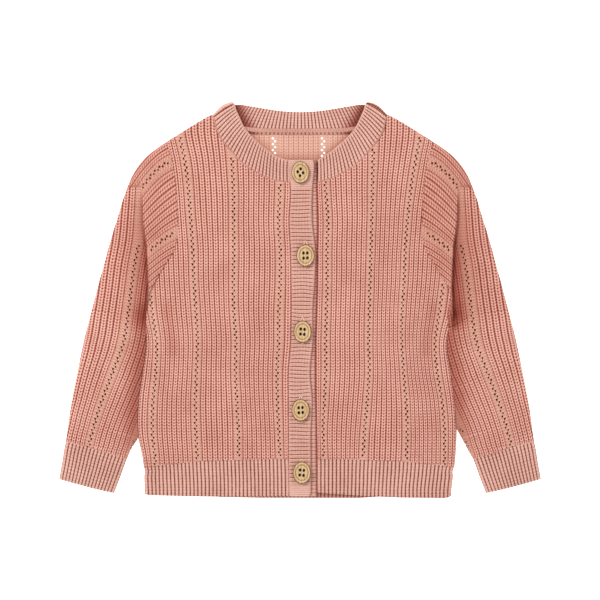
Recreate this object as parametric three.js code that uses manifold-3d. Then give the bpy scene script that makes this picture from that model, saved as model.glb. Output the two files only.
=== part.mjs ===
// A baby's ribbed knit cardigan, buttoned up and laid flat on its back, with its sleeves folded down.
// Millimetres. +X runs to the viewer's right, +Y from hem to neck, and +Z up from the surface it lies on.
// The origin is on that surface, under the middle of the garment.
// Side -1 is the half on the viewer's left, which is the wearer's right, and side 1 is the other half.
import * as THREE from "three";
import { mergeVertices } from "three/addons/utils/BufferGeometryUtils.js";
import Module from "manifold-3d";

const wasm = await Module();
wasm.setup();

// Driving sizes of the cloth
const SEAM_GAP = 0.3; // between two pieces that are sewn together
const BAND_GAP = 0.6; // between a front and its button band
const BACK_TOP = 2.0; // the back lies on the surface and is this thick
const WALL = 1.8; // a knit wall at the bottom of a groove between two ribs
const RIB_RISE = 0.8; // a panel's rib stands this much above its grooves
const FINE_RISE = 0.5; // a rib of the bands, hem and cuffs does
const RIB_PITCH = 3.65; // a panel's rib, from groove to groove
const HEM_PITCH = 2.8;
const CUFF_PITCH = 2.7;
const NECK_PITCH = 2.6;
const PLACKET_PITCH = 2.9;
const FRONT_FLOOR = BACK_TOP + SEAM_GAP; // the fronts lie on the back

// Where each front's ribs run: a row for each height, and a column for each guide line. placket is the edge at
// the button band, eyelet3 to eyelet0 are the four lines of openwork, and side is the edge at the side.
const RIGHT_FRONT = [
  { y: -142.5, placket: -8.5, eyelet3: -15.0, eyelet2: -46.0, eyelet1: -76.5, eyelet0: -108.0, side: -116.5 },
  { y: -120.0, placket: -8.8, eyelet3: -15.0, eyelet2: -46.1, eyelet1: -76.9, eyelet0: -108.5, side: -117.8 },
  { y: -97.5, placket: -8.8, eyelet3: -15.9, eyelet2: -46.1, eyelet1: -78.0, eyelet0: -110.6, side: -121.9 },
  { y: -75.0, placket: -8.8, eyelet3: -17.0, eyelet2: -47.3, eyelet1: -78.4, eyelet0: -110.1, side: -121.5 },
  { y: -52.5, placket: -8.8, eyelet3: -17.2, eyelet2: -48.3, eyelet1: -77.5, eyelet0: -108.0, side: -118.5 },
  { y: -30.0, placket: -7.0, eyelet3: -16.2, eyelet2: -48.0, eyelet1: -76.9, eyelet0: -107.6, side: -116.0 },
  { y: -7.5, placket: -6.7, eyelet3: -15.9, eyelet2: -49.6, eyelet1: -78.0, eyelet0: -111.0, side: -120.5 },
  { y: 15.0, placket: -6.8, eyelet3: -14.8, eyelet2: -49.9, eyelet1: -79.4, eyelet0: -112.5, side: -122.5 },
  { y: 37.5, placket: -7.2, eyelet3: -14.8, eyelet2: -49.6, eyelet1: -80.3, eyelet0: -113.5, side: -123.5 },
  { y: 60.0, placket: -8.2, eyelet3: -16.0, eyelet2: -49.7, eyelet1: -81.8, eyelet0: -114.5, side: -124.5 },
  { y: 82.5, placket: -7.2, eyelet3: -15.2, eyelet2: -49.8, eyelet1: -83.5, eyelet0: -116.0, side: -126.0 },
  { y: 105.0, placket: -8.5, eyelet3: -14.6, eyelet2: -50.8, eyelet1: -86.3, eyelet0: -118.5, side: -128.5 },
  { y: 127.5, placket: -8.8, eyelet3: -14.4, eyelet2: -52.5, eyelet1: -91.0, eyelet0: -122.5, side: -132.5 },
];
const LEFT_FRONT = [
  { y: -142.5, placket: 13.2, eyelet3: 17.8, eyelet2: 47.0, eyelet1: 79.5, eyelet0: 107.6, side: 113.5 },
  { y: -120.0, placket: 13.1, eyelet3: 17.8, eyelet2: 47.3, eyelet1: 79.7, eyelet0: 108.2, side: 116.3 },
  { y: -97.5, placket: 12.8, eyelet3: 17.2, eyelet2: 48.2, eyelet1: 80.3, eyelet0: 108.2, side: 117.5 },
  { y: -75.0, placket: 12.4, eyelet3: 18.2, eyelet2: 50.3, eyelet1: 79.5, eyelet0: 106.5, side: 116.3 },
  { y: -52.5, placket: 12.2, eyelet3: 19.3, eyelet2: 51.8, eyelet1: 77.6, eyelet0: 102.6, side: 113.3 },
  { y: -30.0, placket: 12.2, eyelet3: 19.2, eyelet2: 51.5, eyelet1: 76.2, eyelet0: 101.2, side: 111.0 },
  { y: -7.5, placket: 12.8, eyelet3: 19.8, eyelet2: 51.9, eyelet1: 76.5, eyelet0: 104.5, side: 118.0 },
  { y: 15.0, placket: 13.4, eyelet3: 20.3, eyelet2: 52.5, eyelet1: 78.0, eyelet0: 107.5, side: 120.5 },
  { y: 37.5, placket: 13.5, eyelet3: 20.2, eyelet2: 53.3, eyelet1: 78.8, eyelet0: 109.5, side: 121.5 },
  { y: 60.0, placket: 13.8, eyelet3: 20.8, eyelet2: 53.8, eyelet1: 80.4, eyelet0: 111.5, side: 121.5 },
  { y: 82.5, placket: 13.2, eyelet3: 19.2, eyelet2: 54.2, eyelet1: 82.9, eyelet0: 114.0, side: 124.0 },
  { y: 105.0, placket: 12.8, eyelet3: 17.8, eyelet2: 54.8, eyelet1: 86.6, eyelet0: 117.0, side: 127.0 },
  { y: 127.5, placket: 12.8, eyelet3: 17.2, eyelet2: 55.1, eyelet1: 90.8, eyelet0: 121.0, side: 131.0 },
];
const FRONT_OF = { "-1": RIGHT_FRONT, 1: LEFT_FRONT };
// The guide lines again, by their place in ribs from the button band.
const GUIDES = [
  { line: "placket", rib: 0 },
  { line: "eyelet3", rib: 2 },
  { line: "eyelet2", rib: 11 },
  { line: "eyelet1", rib: 19 },
  { line: "eyelet0", rib: 28 },
  { line: "side", rib: 31 },
];
const EYELET_RIBS = [2, 11, 19, 28];
const FRONT_RIBS = 31;
const FRONT_HEIGHTS = [-131, -108, -86, -64, -46, -30, -7, 32, 70, 108, 143];

// The outline of one half, from the underarm over the shoulder, on side -1. The other half mirrors it.
const ARMHOLE = [
  { x: -113.7, y: 3.8 },
  { x: -111.0, y: 10.5 },
  { x: -105.0, y: 21.0 },
  { x: -99.0, y: 30.8 },
  { x: -94.0, y: 38.5 },
  { x: -91.6, y: 49.5 },
  { x: -91.3, y: 61.5 },
  { x: -92.0, y: 74.0 },
  { x: -93.0, y: 86.5 },
  { x: -94.6, y: 98.5 },
  { x: -96.8, y: 108.5 },
  { x: -99.8, y: 119.3 },
];
const SHOULDER = [
  { x: -99.8, y: 119.3 },
  { x: -83.3, y: 129.7 },
  { x: -73.5, y: 135.7 },
  { x: -66.6, y: 139.3 },
];
// The line where the hem rib starts, from the button band to the side.
const HEM_LINE = [
  { x: 0, y: -118.3 },
  { x: 30, y: -118.5 },
  { x: 75, y: -120.0 },
  { x: 100, y: -122.5 },
  { x: 125, y: -126.0 },
];
const FRONT_HEM_END = -146.6;
const BACK_HEM_END = -149.0;

// The neckband, from the button band round to the middle of the back, on side -1. seam is its sewn edge, free
// its open edge, and z the height of the middle of its wall.
const NECK_FRONT = [
  { seamX: -9.0, seamY: 88.9, freeX: -9.0, freeY: 105.4, z: 3.6 },
  { seamX: -17.3, seamY: 90.0, freeX: -16.5, freeY: 108.0, z: 3.6 },
  { seamX: -26.3, seamY: 93.0, freeX: -24.0, freeY: 112.9, z: 3.6 },
  { seamX: -37.0, seamY: 99.0, freeX: -30.8, freeY: 118.5, z: 3.7 },
  { seamX: -45.0, seamY: 105.0, freeX: -36.4, freeY: 123.8, z: 3.9 },
  { seamX: -52.5, seamY: 113.6, freeX: -41.3, freeY: 129.8, z: 4.1 },
  { seamX: -58.5, seamY: 120.8, freeX: -44.6, freeY: 136.5, z: 4.2 },
  { seamX: -62.6, seamY: 129.0, freeX: -47.4, freeY: 142.6, z: 4.3 },
];
const NECK_FOLD = { seamX: -64.4, seamY: 137.2, freeX: -48.8, freeY: 147.2, z: 2.7, radius: 1.6 };
const NECK_BACK = [
  { seamX: -58.5, seamY: 130.5, freeX: -44.0, freeY: 147.2, z: 1.1 },
  { seamX: -46.5, seamY: 126.8, freeX: -36.0, freeY: 146.0, z: 1.1 },
  { seamX: -33.0, seamY: 125.6, freeX: -25.5, freeY: 144.2, z: 1.1 },
  { seamX: -16.5, seamY: 125.3, freeX: -13.5, freeY: 142.5, z: 1.1 },
  { seamX: 0, seamY: 125.3, freeX: 0, freeY: 141.8, z: 1.1 },
];
const NECK_HALF_WALL = 1.1;

// The two edges of the upper button band, which waves in and out between its buttons.
const PLACKET = [
  { y: -146.4, left: -7.6, right: 6.8 },
  { y: -142.5, left: -8.2, right: 8.3 },
  { y: -120.0, left: -8.5, right: 8.5 },
  { y: -97.5, left: -8.5, right: 8.4 },
  { y: -75.0, left: -8.5, right: 9.3 },
  { y: -52.5, left: -8.5, right: 7.7 },
  { y: -30.0, left: -6.7, right: 9.8 },
  { y: -7.5, left: -6.4, right: 9.7 },
  { y: 15.0, left: -6.5, right: 11.2 },
  { y: 37.5, left: -6.9, right: 11.8 },
  { y: 60.0, left: -7.9, right: 8.7 },
  { y: 82.5, left: -6.9, right: 8.5 },
  { y: 102.0, left: -8.4, right: 11.0 },
  { y: 105.6, left: -8.2, right: 10.4 },
];
const UNDER_PLACKET_FREE = -4.5; // the lower band's hidden edge
const UNDER_PLACKET_TOP = 4.4;
const PLACKET_SEAM_FLOOR = 3.5; // the upper band dips to this at the seam with its front
const PLACKET_FLOOR = UNDER_PLACKET_TOP + SEAM_GAP;
const PLACKET_RISE_WIDTH = 9; // that front climbs to its band over this width

// The sleeve and the cuff on side -1: a row for each ring, from the armhole to the wrist. outer is the ring's
// end on the outline, middle the top of the ring, inner its end at the body, and top the height of the cloth.
const SLEEVE = [
  { outerX: -96.0, outerY: 121.6, midX: -87.0, midY: 59.3, innerX: -106.0, innerY: 0.8, top: 5.0 },
  { outerX: -106.5, outerY: 115.0, midX: -102.0, midY: 59.3, innerX: -113.6, innerY: 0.8, top: 5.9 },
  { outerX: -117.0, outerY: 106.3, midX: -111.8, midY: 54.8, innerX: -114.4, innerY: -1.5, top: 6.6 },
  { outerX: -125.2, outerY: 95.0, midX: -118.5, midY: 45.8, innerX: -115.0, innerY: -5.3, top: 7.0 },
  { outerX: -132.0, outerY: 78.5, midX: -123.4, midY: 32.3, innerX: -115.4, innerY: -12.8, top: 7.0 },
  { outerX: -139.5, outerY: 54.8, midX: -128.3, midY: 15.8, innerX: -115.9, innerY: -24.8, top: 7.0 },
  { outerX: -147.0, outerY: 27.8, midX: -133.5, midY: -3.8, innerX: -117.2, innerY: -39.8, top: 7.0 },
  { outerX: -154.3, outerY: 0.8, midX: -138.8, midY: -26.3, innerX: -119.5, innerY: -56.3, top: 7.0 },
  { outerX: -161.2, outerY: -26.3, midX: -143.6, midY: -48.8, innerX: -121.8, innerY: -72.8, top: 7.0 },
  { outerX: -166.9, outerY: -53.3, midX: -147.8, midY: -71.3, innerX: -122.8, innerY: -87.8, top: 6.8 },
  { outerX: -171.8, outerY: -78.8, midX: -150.8, midY: -93.0, innerX: -122.9, innerY: -101.0, top: 6.5 },
  { outerX: -175.3, outerY: -104.3, midX: -152.3, midY: -110.8, innerX: -129.5, innerY: -117.6, top: 6.0 },
];
const CUFF = [
  { outerX: -175.4, outerY: -104.8, midX: -152.5, midY: -111.3, innerX: -129.7, innerY: -118.1, top: 5.9 },
  { outerX: -178.0, outerY: -119.3, midX: -156.0, midY: -125.3, innerX: -134.6, innerY: -131.5, top: 5.9 },
  { outerX: -180.2, outerY: -131.6, midX: -159.0, midY: -137.6, innerX: -138.9, innerY: -142.6, top: 5.6 },
  { outerX: -180.6, outerY: -133.4, midX: -159.4, midY: -139.3, innerX: -139.6, innerY: -144.0, top: 4.6 },
];
const SLEEVE_RIBS = 16;
const TUBE_EDGE = 2.4; // height of a flattened tube's two folded edges
const TUBE_FLOOR_WALL = 1.9;
const TUBE_BODY_GAP = 0.5; // between a sleeve and the side of the body

// The largest folds on side -1, each a soft ridge, or a trough where its height is below zero.
const FOLDS = [
  { x0: -118, y0: 76, x1: -112, y1: 24, width: 4.5, height: 0.8 },
  { x0: -123, y0: 70, x1: -117, y1: 16, width: 4, height: -2.2 },
  { x0: -118, y0: -30, x1: -130, y1: -38, width: 4, height: -0.9 },
  { x0: -100, y0: -4, x1: -95, y1: -38, width: 5, height: -1.0 },
  { x0: -108, y0: -8, x1: -106, y1: -50, width: 4, height: 0.6 },
];
const BODY_AIR = 1.3; // how far the fronts lift off the back between their seams
const SIDE_TURN = 3.2; // the fronts turn down over the back's edge within this width
const SIDE_END = 0.4;

// The buttons, from the neck down. turn is the angle of the holes.
const BUTTONS = [
  { x: 0.3, y: 96.3, turn: 38 },
  { x: 4.1, y: 34.0, turn: 2 },
  { x: 1.9, y: -23.0, turn: -4 },
  { x: 0.5, y: -81.7, turn: 3 },
  { x: 1.4, y: -128.5, turn: -5 },
];
const BUTTON_WIDTH = 13.3;
const BUTTON_HEIGHT = 16.5;
const BUTTON_THICK = 2.6;
const BUTTON_HOLE = 0.75;
const BUTTON_HOLE_X = 1.45;
const BUTTON_HOLE_Y = 1.85;

const knit = new THREE.MeshStandardMaterial({ color: 0xd29a89, roughness: 0.95, metalness: 0 });
const ribKnit = new THREE.MeshStandardMaterial({ color: 0xd3a392, roughness: 0.95, metalness: 0 });
const wood = new THREE.MeshStandardMaterial({ color: 0xd9bd88, roughness: 0.55, metalness: 0 });

// Curves and tables

// A column's value at height y, on a smooth curve through the rows of a table.
function columnAt(table, column, y) {
  let i = table.findIndex((row) => row.y >= y);
  if (i < 0) i = table.length - 1;
  i = THREE.MathUtils.clamp(i, 1, table.length - 1);
  const rows = [-2, -1, 0, 1].map((k) => table[THREE.MathUtils.clamp(i + k, 0, table.length - 1)]);
  const t = THREE.MathUtils.clamp((y - rows[1].y) / (rows[2].y - rows[1].y), 0, 1);
  const [a, b, c, d] = rows.map((row) => row[column]);
  return 0.5 * (2 * b + (c - a) * t + (2 * a - 5 * b + 4 * c - d) * t * t + (3 * b - a - 3 * c + d) * t * t * t);
}

// The x of a rib's groove, counted from the button band, at height y.
function ribX(side, rib, y) {
  const next = GUIDES.findIndex((guide) => guide.rib >= rib && guide.rib > 0);
  const [from, to] = [GUIDES[next - 1], GUIDES[next]];
  const share = (rib - from.rib) / (to.rib - from.rib);
  const table = FRONT_OF[side];
  return THREE.MathUtils.lerp(columnAt(table, from.line, y), columnAt(table, to.line, y), share);
}

function smoothPath(points, steps) {
  const curve = new THREE.CatmullRomCurve3(points.map((p) => new THREE.Vector3(p.x, p.y, 0)), false, "centripetal");
  return curve.getPoints(steps).map((p) => new THREE.Vector2(p.x, p.y));
}

function hemLineY(x) {
  const i = HEM_LINE.findIndex((p) => p.x >= Math.abs(x));
  const [a, b] = [HEM_LINE[Math.max(i - 1, 0)], HEM_LINE[Math.max(i, 1)]];
  return THREE.MathUtils.lerp(a.y, b.y, (Math.abs(x) - a.x) / (b.x - a.x));
}

// How far the folds lift or lower the cloth at a point, on either side.
function foldAt(x, y) {
  let lift = 0;
  for (const fold of FOLDS) {
    const start = new THREE.Vector3(fold.x0, fold.y0, 0);
    const line = new THREE.Line3(start, new THREE.Vector3(fold.x1, fold.y1, 0));
    const point = new THREE.Vector3(-Math.abs(x), y, 0);
    const away = line.closestPointToPoint(point, true, new THREE.Vector3()).distanceTo(point);
    lift += fold.height * Math.exp(-((away / fold.width) ** 2));
  }
  return lift;
}

// Closed meshes from chains of points

// Triangles between two chains of point numbers, walking along both at an even pace.
function bridge(triangles, chainA, chainB) {
  const [stepsA, stepsB] = [chainA.length - 1, chainB.length - 1];
  let i = 0;
  let j = 0;
  while (i < stepsA || j < stepsB) {
    const alongA = j === stepsB || (i < stepsA && (i + 1) / stepsA <= (j + 1) / stepsB);
    triangles.push(chainA[i], alongA ? chainA[i + 1] : chainB[j + 1], chainB[j]);
    if (alongA) i += 1;
    else j += 1;
  }
}

// A geometry from points and triangles, turned so that its faces point out.
function closedGeometry(points, triangles) {
  let volume = 0;
  for (let i = 0; i < triangles.length; i += 3) {
    const [a, b, c] = triangles.slice(i, i + 3).map((k) => points[k]);
    volume += a.dot(b.clone().cross(c));
  }
  const index = volume < 0 ? triangles.slice().reverse() : triangles;
  const geometry = new THREE.BufferGeometry().setFromPoints(points);
  geometry.setIndex(index);
  return geometry;
}

// A wall from sections, each with an outer chain and an inner chain that run the same way.
function wallFrom(sections) {
  const points = [];
  const chains = sections.map(({ outer, inner }) =>
    [outer, inner].map((chain) => chain.map((p) => points.push(p) - 1)),
  );
  const triangles = [];
  for (let i = 1; i < chains.length; i += 1) {
    const [outerA, innerA] = chains[i - 1];
    const [outerB, innerB] = chains[i];
    bridge(triangles, outerA, outerB);
    bridge(triangles, innerB, innerA);
    bridge(triangles, [innerA[0], outerA[0]], [innerB[0], outerB[0]]);
    bridge(triangles, [outerA.at(-1), innerA.at(-1)], [outerB.at(-1), innerB.at(-1)]);
  }
  bridge(triangles, chains[0][1], chains[0][0]);
  bridge(triangles, chains.at(-1)[0], chains.at(-1)[1]);
  return closedGeometry(points, triangles);
}

// A tube from rings, each with an outer loop and an inner loop that run the same way round.
function tubeFrom(rings) {
  const points = [];
  const loops = rings.map(({ outer, inner }) =>
    [outer, inner].map((loop) => {
      const numbers = loop.map((p) => points.push(p) - 1);
      return [...numbers, numbers[0]];
    }),
  );
  const triangles = [];
  for (let i = 1; i < loops.length; i += 1) {
    bridge(triangles, loops[i - 1][0], loops[i][0]);
    bridge(triangles, loops[i][1], loops[i - 1][1]);
  }
  bridge(triangles, loops[0][1], loops[0][0]);
  bridge(triangles, loops.at(-1)[0], loops.at(-1)[1]);
  return closedGeometry(points, triangles);
}

// Cutting

function solidOf(geometry) {
  const bare = new THREE.BufferGeometry().setAttribute("position", geometry.getAttribute("position"));
  if (geometry.index) bare.setIndex(geometry.index);
  const merged = mergeVertices(bare, 1e-4);
  const vertProperties = new Float32Array(merged.attributes.position.array);
  return new wasm.Manifold(
    new wasm.Mesh({ numProp: 3, vertProperties, triVerts: new Uint32Array(merged.index.array) }),
  );
}

function geometryOf(solid) {
  const { vertProperties, triVerts } = solid.getMesh();
  const geometry = new THREE.BufferGeometry();
  geometry.setAttribute("position", new THREE.BufferAttribute(new Float32Array(vertProperties), 3));
  geometry.setIndex(Array.from(triVerts));
  return geometry;
}

const CUT_FROM = -5;
const CUT_DEPTH = 30;

// The space above and below a flat outline, to cut a piece with.
function columnOver(outline) {
  const geometry = new THREE.ExtrudeGeometry(new THREE.Shape(outline), { depth: CUT_DEPTH, bevelEnabled: false });
  return solidOf(geometry.translate(0, 0, CUT_FROM));
}

// An outline moved outwards by a distance, or inwards where that is below zero.
function offsetOutline(outline, distance) {
  const turn = THREE.ShapeUtils.isClockWise(outline) ? 1 : -1;
  return outline.map((point, i) => {
    const before = outline[(i + outline.length - 1) % outline.length];
    const after = outline[(i + 1) % outline.length];
    const along = point.clone().sub(before).normalize().add(after.clone().sub(point).normalize()).normalize();
    const out = new THREE.Vector2(-along.y, along.x).multiplyScalar(turn * distance);
    return point.clone().add(out);
  });
}

// Outlines of the body

const OUTLINE_STEPS = 22;
const mirrorAll = (points, side) => (side < 0 ? points : points.map((p) => new THREE.Vector2(-p.x, p.y)));
const neckSeam = smoothPath(
  [
    { x: 0, y: 88.5 },
    ...NECK_FRONT.map((row) => ({ x: row.seamX, y: row.seamY })),
    { x: NECK_FOLD.seamX, y: NECK_FOLD.seamY },
    { x: -66.2, y: 139.5 },
  ],
  OUTLINE_STEPS * 2,
);
const backNeckSeam = smoothPath(
  [{ x: -66.2, y: 139.5 }, { x: -64.2, y: 136.4 }, ...NECK_BACK.map((row) => ({ x: row.seamX, y: row.seamY }))],
  OUTLINE_STEPS,
);
const armhole = smoothPath(ARMHOLE, OUTLINE_STEPS);
const shoulder = smoothPath(SHOULDER, 4).slice(1);
const TRUE_SIDE_FROM = -30; // above this, a front's ribs run past its side and are cut there
const UNDERARM = { x: 114.7, y: -7.5 };

function hemPath(reach) {
  const inner = HEM_LINE.filter((p) => p.x < reach).map((p) => new THREE.Vector2(-p.x, p.y));
  return [...inner, new THREE.Vector2(-reach, hemLineY(reach))];
}

// What a front is cut to: along its hem, armhole, shoulder and neck, but not along its side.
function frontOutline(side) {
  const sideX = Math.abs(columnAt(FRONT_OF[side], "side", TRUE_SIDE_FROM));
  const lead = Math.min(UNDERARM.x, sideX - 0.2);
  const clear = 135;
  const outline = [
    ...hemPath(clear - 11),
    new THREE.Vector2(-clear, hemLineY(clear - 11)),
    new THREE.Vector2(-clear, TRUE_SIDE_FROM - 2),
    new THREE.Vector2(-sideX - 0.1, TRUE_SIDE_FROM),
    new THREE.Vector2(-lead, UNDERARM.y),
    ...armhole,
    ...shoulder,
    ...neckSeam.slice().reverse(),
  ];
  return mirrorAll(offsetOutline(outline, -SEAM_GAP), side);
}

// The true outline of half of the body, which the sleeves keep clear of.
function bodyOutline(side) {
  const heights = [-140, -130, -120, -108, -97, -86, -75, -64, -52, -41, TRUE_SIDE_FROM];
  const edge = heights.map((y) => new THREE.Vector2(-Math.abs(columnAt(FRONT_OF[side], "side", y)), y));
  return [...edge, new THREE.Vector2(-Math.min(UNDERARM.x, -edge.at(-1).x - 0.2), UNDERARM.y), ...armhole, ...shoulder];
}

// How far the side of the body is from the middle, at a height below the underarm.
function bodyEdgeX(side, y) {
  if (y < TRUE_SIDE_FROM) return Math.abs(columnAt(FRONT_OF[side], "side", y));
  const lead = Math.min(UNDERARM.x, Math.abs(columnAt(FRONT_OF[side], "side", TRUE_SIDE_FROM)) - 0.2);
  if (y < UNDERARM.y) return lead;
  return THREE.MathUtils.mapLinear(y, UNDERARM.y, ARMHOLE[0].y, lead, -ARMHOLE[0].x);
}

// The pieces

// The height of the wall's shape across a panel's ribs: 1 on a rib, 0 in a groove.
function ribShape(rib) {
  const nearest = Math.min(...EYELET_RIBS.map((line) => Math.abs(rib - line)));
  if (nearest < 1) return 0.6;
  return rib % 1 === 0 ? 0 : 1;
}

// How far a front lifts off the back, away from its seams.
function airAt(side, x, y) {
  const reach = THREE.MathUtils.clamp(Math.min((y + 118) / 35, (128 - y) / 60), 0, 1);
  const across = Math.sin(Math.PI * THREE.MathUtils.clamp((Math.abs(x) - 10) / 108, 0, 1));
  const air = BODY_AIR * Math.sqrt(reach) * across + foldAt(x, y) * reach;
  return Math.max(0, air);
}

// The floor of a front at a point: it climbs to its button band, and turns down at its side.
function frontFloor(side, x, y) {
  const toPlacket = Math.abs(x - columnAt(FRONT_OF[side], "placket", y));
  const climb = side < 0 ? (PLACKET_SEAM_FLOOR - FRONT_FLOOR) * Math.exp(-((toPlacket / PLACKET_RISE_WIDTH) ** 2)) : 0;
  return FRONT_FLOOR + climb + airAt(side, x, y);
}

function sideDrop(side, x, y, height) {
  const toSide = Math.abs(columnAt(FRONT_OF[side], "side", y) - x);
  const share = THREE.MathUtils.clamp(1 - toSide / SIDE_TURN, 0, 1);
  return (height - SIDE_END) * (1 - Math.sqrt(1 - share * share));
}

// One row across a front or its hem, from the button band to the side.
function frontRow(side, y, ribs, pitch, shape, rise) {
  const outer = [];
  for (let k = 0; k <= 2 * ribs; k += 1) {
    const rib = (k / 2) * (FRONT_RIBS / ribs);
    const yHere = typeof y === "function" ? y(ribX(side, rib, -120)) : y;
    const x = ribX(side, rib, yHere) + (k === 0 ? side * BAND_GAP : 0);
    const height = frontFloor(side, x, yHere) + WALL + rise * shape(pitch ? k / 2 : rib);
    outer.push(new THREE.Vector3(x, yHere, height - sideDrop(side, x, yHere, height)));
  }
  const inner = outer.filter((_, k) => k % 8 === 0 && k < outer.length - 5).map((p) => {
    return new THREE.Vector3(p.x, p.y, frontFloor(side, p.x, p.y));
  });
  const edge = outer.at(-1);
  inner.push(new THREE.Vector3(edge.x - side * (SIDE_TURN + 0.2), edge.y, frontFloor(side, edge.x, edge.y)));
  inner.push(new THREE.Vector3(edge.x - side * (SIDE_TURN - 1.2), edge.y, SIDE_END - 0.2));
  return { outer, inner };
}

function front(side) {
  const rows = FRONT_HEIGHTS.map((y) => frontRow(side, y, FRONT_RIBS, 0, ribShape, RIB_RISE));
  return geometryOf(solidOf(wallFrom(rows)).intersect(columnOver(frontOutline(side))));
}

const fineRib = (rib) => (rib % 1 === 0 ? 0 : 1);

// The hem of a front: a row at its top, two in its length and two round its lower edge.
function frontHem(side) {
  const ribs = Math.round(Math.abs(columnAt(FRONT_OF[side], "side", -130) - columnAt(FRONT_OF[side], "placket", -130)) / HEM_PITCH);
  const top = (x) => hemLineY(x) - SEAM_GAP;
  const down = (share) => (x) => THREE.MathUtils.lerp(top(x), FRONT_HEM_END, share);
  const rows = [0, 0.5, 0.95, 1].map((share) => {
    const rise = share === 1 ? 0.1 : FINE_RISE;
    return frontRow(side, down(share), ribs, HEM_PITCH, fineRib, rise);
  });
  const last = rows.at(-1);
  for (const p of last.outer) p.z = Math.max(p.z - 0.9, SIDE_END);
  return wallFrom(rows);
}

const BACK_INSET = SIDE_TURN + SEAM_GAP + 0.3; // the fronts turn down round the back's side edges

// A flat wall on the surface, from the left to the right, with ribs on its upper face.
function flatRow(left, right, y, ribs, rise) {
  const outer = [];
  for (let k = 0; k <= 2 * ribs; k += 1) {
    const x = THREE.MathUtils.lerp(left, right, k / (2 * ribs));
    const yHere = typeof y === "function" ? y(x) : y;
    outer.push(new THREE.Vector3(x, yHere, BACK_TOP - (k % 2 === 0 ? rise : 0)));
  }
  const inner = outer.filter((_, k) => k % 16 === 0 || k === outer.length - 1).map((p) => new THREE.Vector3(p.x, p.y, 0));
  return { outer, inner };
}

const BACK_RIBS = 62;
const sideX = (side, y) => columnAt(FRONT_OF[side], "side", y) - side * BACK_INSET;

function back() {
  const reach = 118;
  const rows = [-131, -30, 55, 143].map((y) => flatRow(-reach, reach, y, BACK_RIBS, RIB_RISE / 2));
  const halfEdge = (side) => {
    const heights = [-119, -97, -75, -52, TRUE_SIDE_FROM];
    const edge = heights.map((y) => new THREE.Vector2(-Math.abs(sideX(side, y)), y));
    edge[0].y = hemLineY(edge[0].x);
    const seam = [...armhole, ...shoulder, ...backNeckSeam];
    return [...edge, new THREE.Vector2(-UNDERARM.x + BACK_INSET, UNDERARM.y), ...seam];
  };
  const rightHalf = halfEdge(1).slice(0, -1).map((p) => new THREE.Vector2(-p.x, p.y)).reverse();
  const hem = [75, 30, -30, -75].map((x) => new THREE.Vector2(x, hemLineY(x)));
  const outline = offsetOutline([...halfEdge(-1), ...rightHalf, ...hem], -SEAM_GAP);
  return geometryOf(solidOf(wallFrom(rows)).intersect(columnOver(outline)));
}

function backHem() {
  const ribs = Math.round((sideX(1, -130) - sideX(-1, -130)) / HEM_PITCH);
  const rows = [0, 1].map((share) => {
    const y = (x) => THREE.MathUtils.lerp(hemLineY(x) - SEAM_GAP, BACK_HEM_END, share);
    return flatRow(sideX(-1, FRONT_HEM_END), sideX(1, FRONT_HEM_END), y, ribs, FINE_RISE);
  });
  return wallFrom(rows);
}

// One half of the neckband's stations, from the button band to the middle of the back.
function neckStations() {
  const stations = NECK_FRONT.map((row) => ({ ...row, roll: 0 }));
  const { seamX, seamY, freeX, freeY, z, radius } = NECK_FOLD;
  const across = new THREE.Vector2(freeX - seamX, freeY - seamY).normalize();
  for (const roll of [0, 60, 120, 180]) {
    const out = radius * Math.sin(THREE.MathUtils.degToRad(roll));
    const up = radius * Math.cos(THREE.MathUtils.degToRad(roll));
    const [dx, dy] = [-across.y * out, across.x * out];
    stations.push({ seamX: seamX + dx, seamY: seamY + dy, freeX: freeX + dx, freeY: freeY + dy, z: z + up, roll });
  }
  return [...stations, ...NECK_BACK.map((row) => ({ ...row, roll: 180 }))];
}

function neckband() {
  const half = neckStations();
  const other = half.slice(0, -1).reverse().map((row) => {
    return { ...row, seamX: -row.seamX, freeX: -row.freeX, roll: 360 - row.roll };
  });
  other.at(-1).seamX = LEFT_FRONT.at(-2).placket + SEAM_GAP;
  other.at(-1).freeX = LEFT_FRONT.at(-2).placket + SEAM_GAP;
  const all = [...half, ...other];
  const curveOf = (point) => new THREE.CatmullRomCurve3(all.map(point), false, "centripetal");
  const seam = curveOf((row) => new THREE.Vector3(row.seamX, row.seamY, row.z));
  const free = curveOf((row) => new THREE.Vector3(row.freeX, row.freeY, row.z));
  const middle = curveOf((row) => new THREE.Vector3((row.seamX + row.freeX) / 2, (row.seamY + row.freeY) / 2, row.z));
  const steps = 2 * Math.round(middle.getLength() / NECK_PITCH);
  const sections = [];
  for (let k = 0; k <= steps; k += 1) {
    const t = middle.getUtoTmapping(k / steps);
    sections.push(neckSection(all, seam.getPoint(t), free.getPoint(t), t, k % 2 === 1));
  }
  return wallFrom(sections);
}

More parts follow.
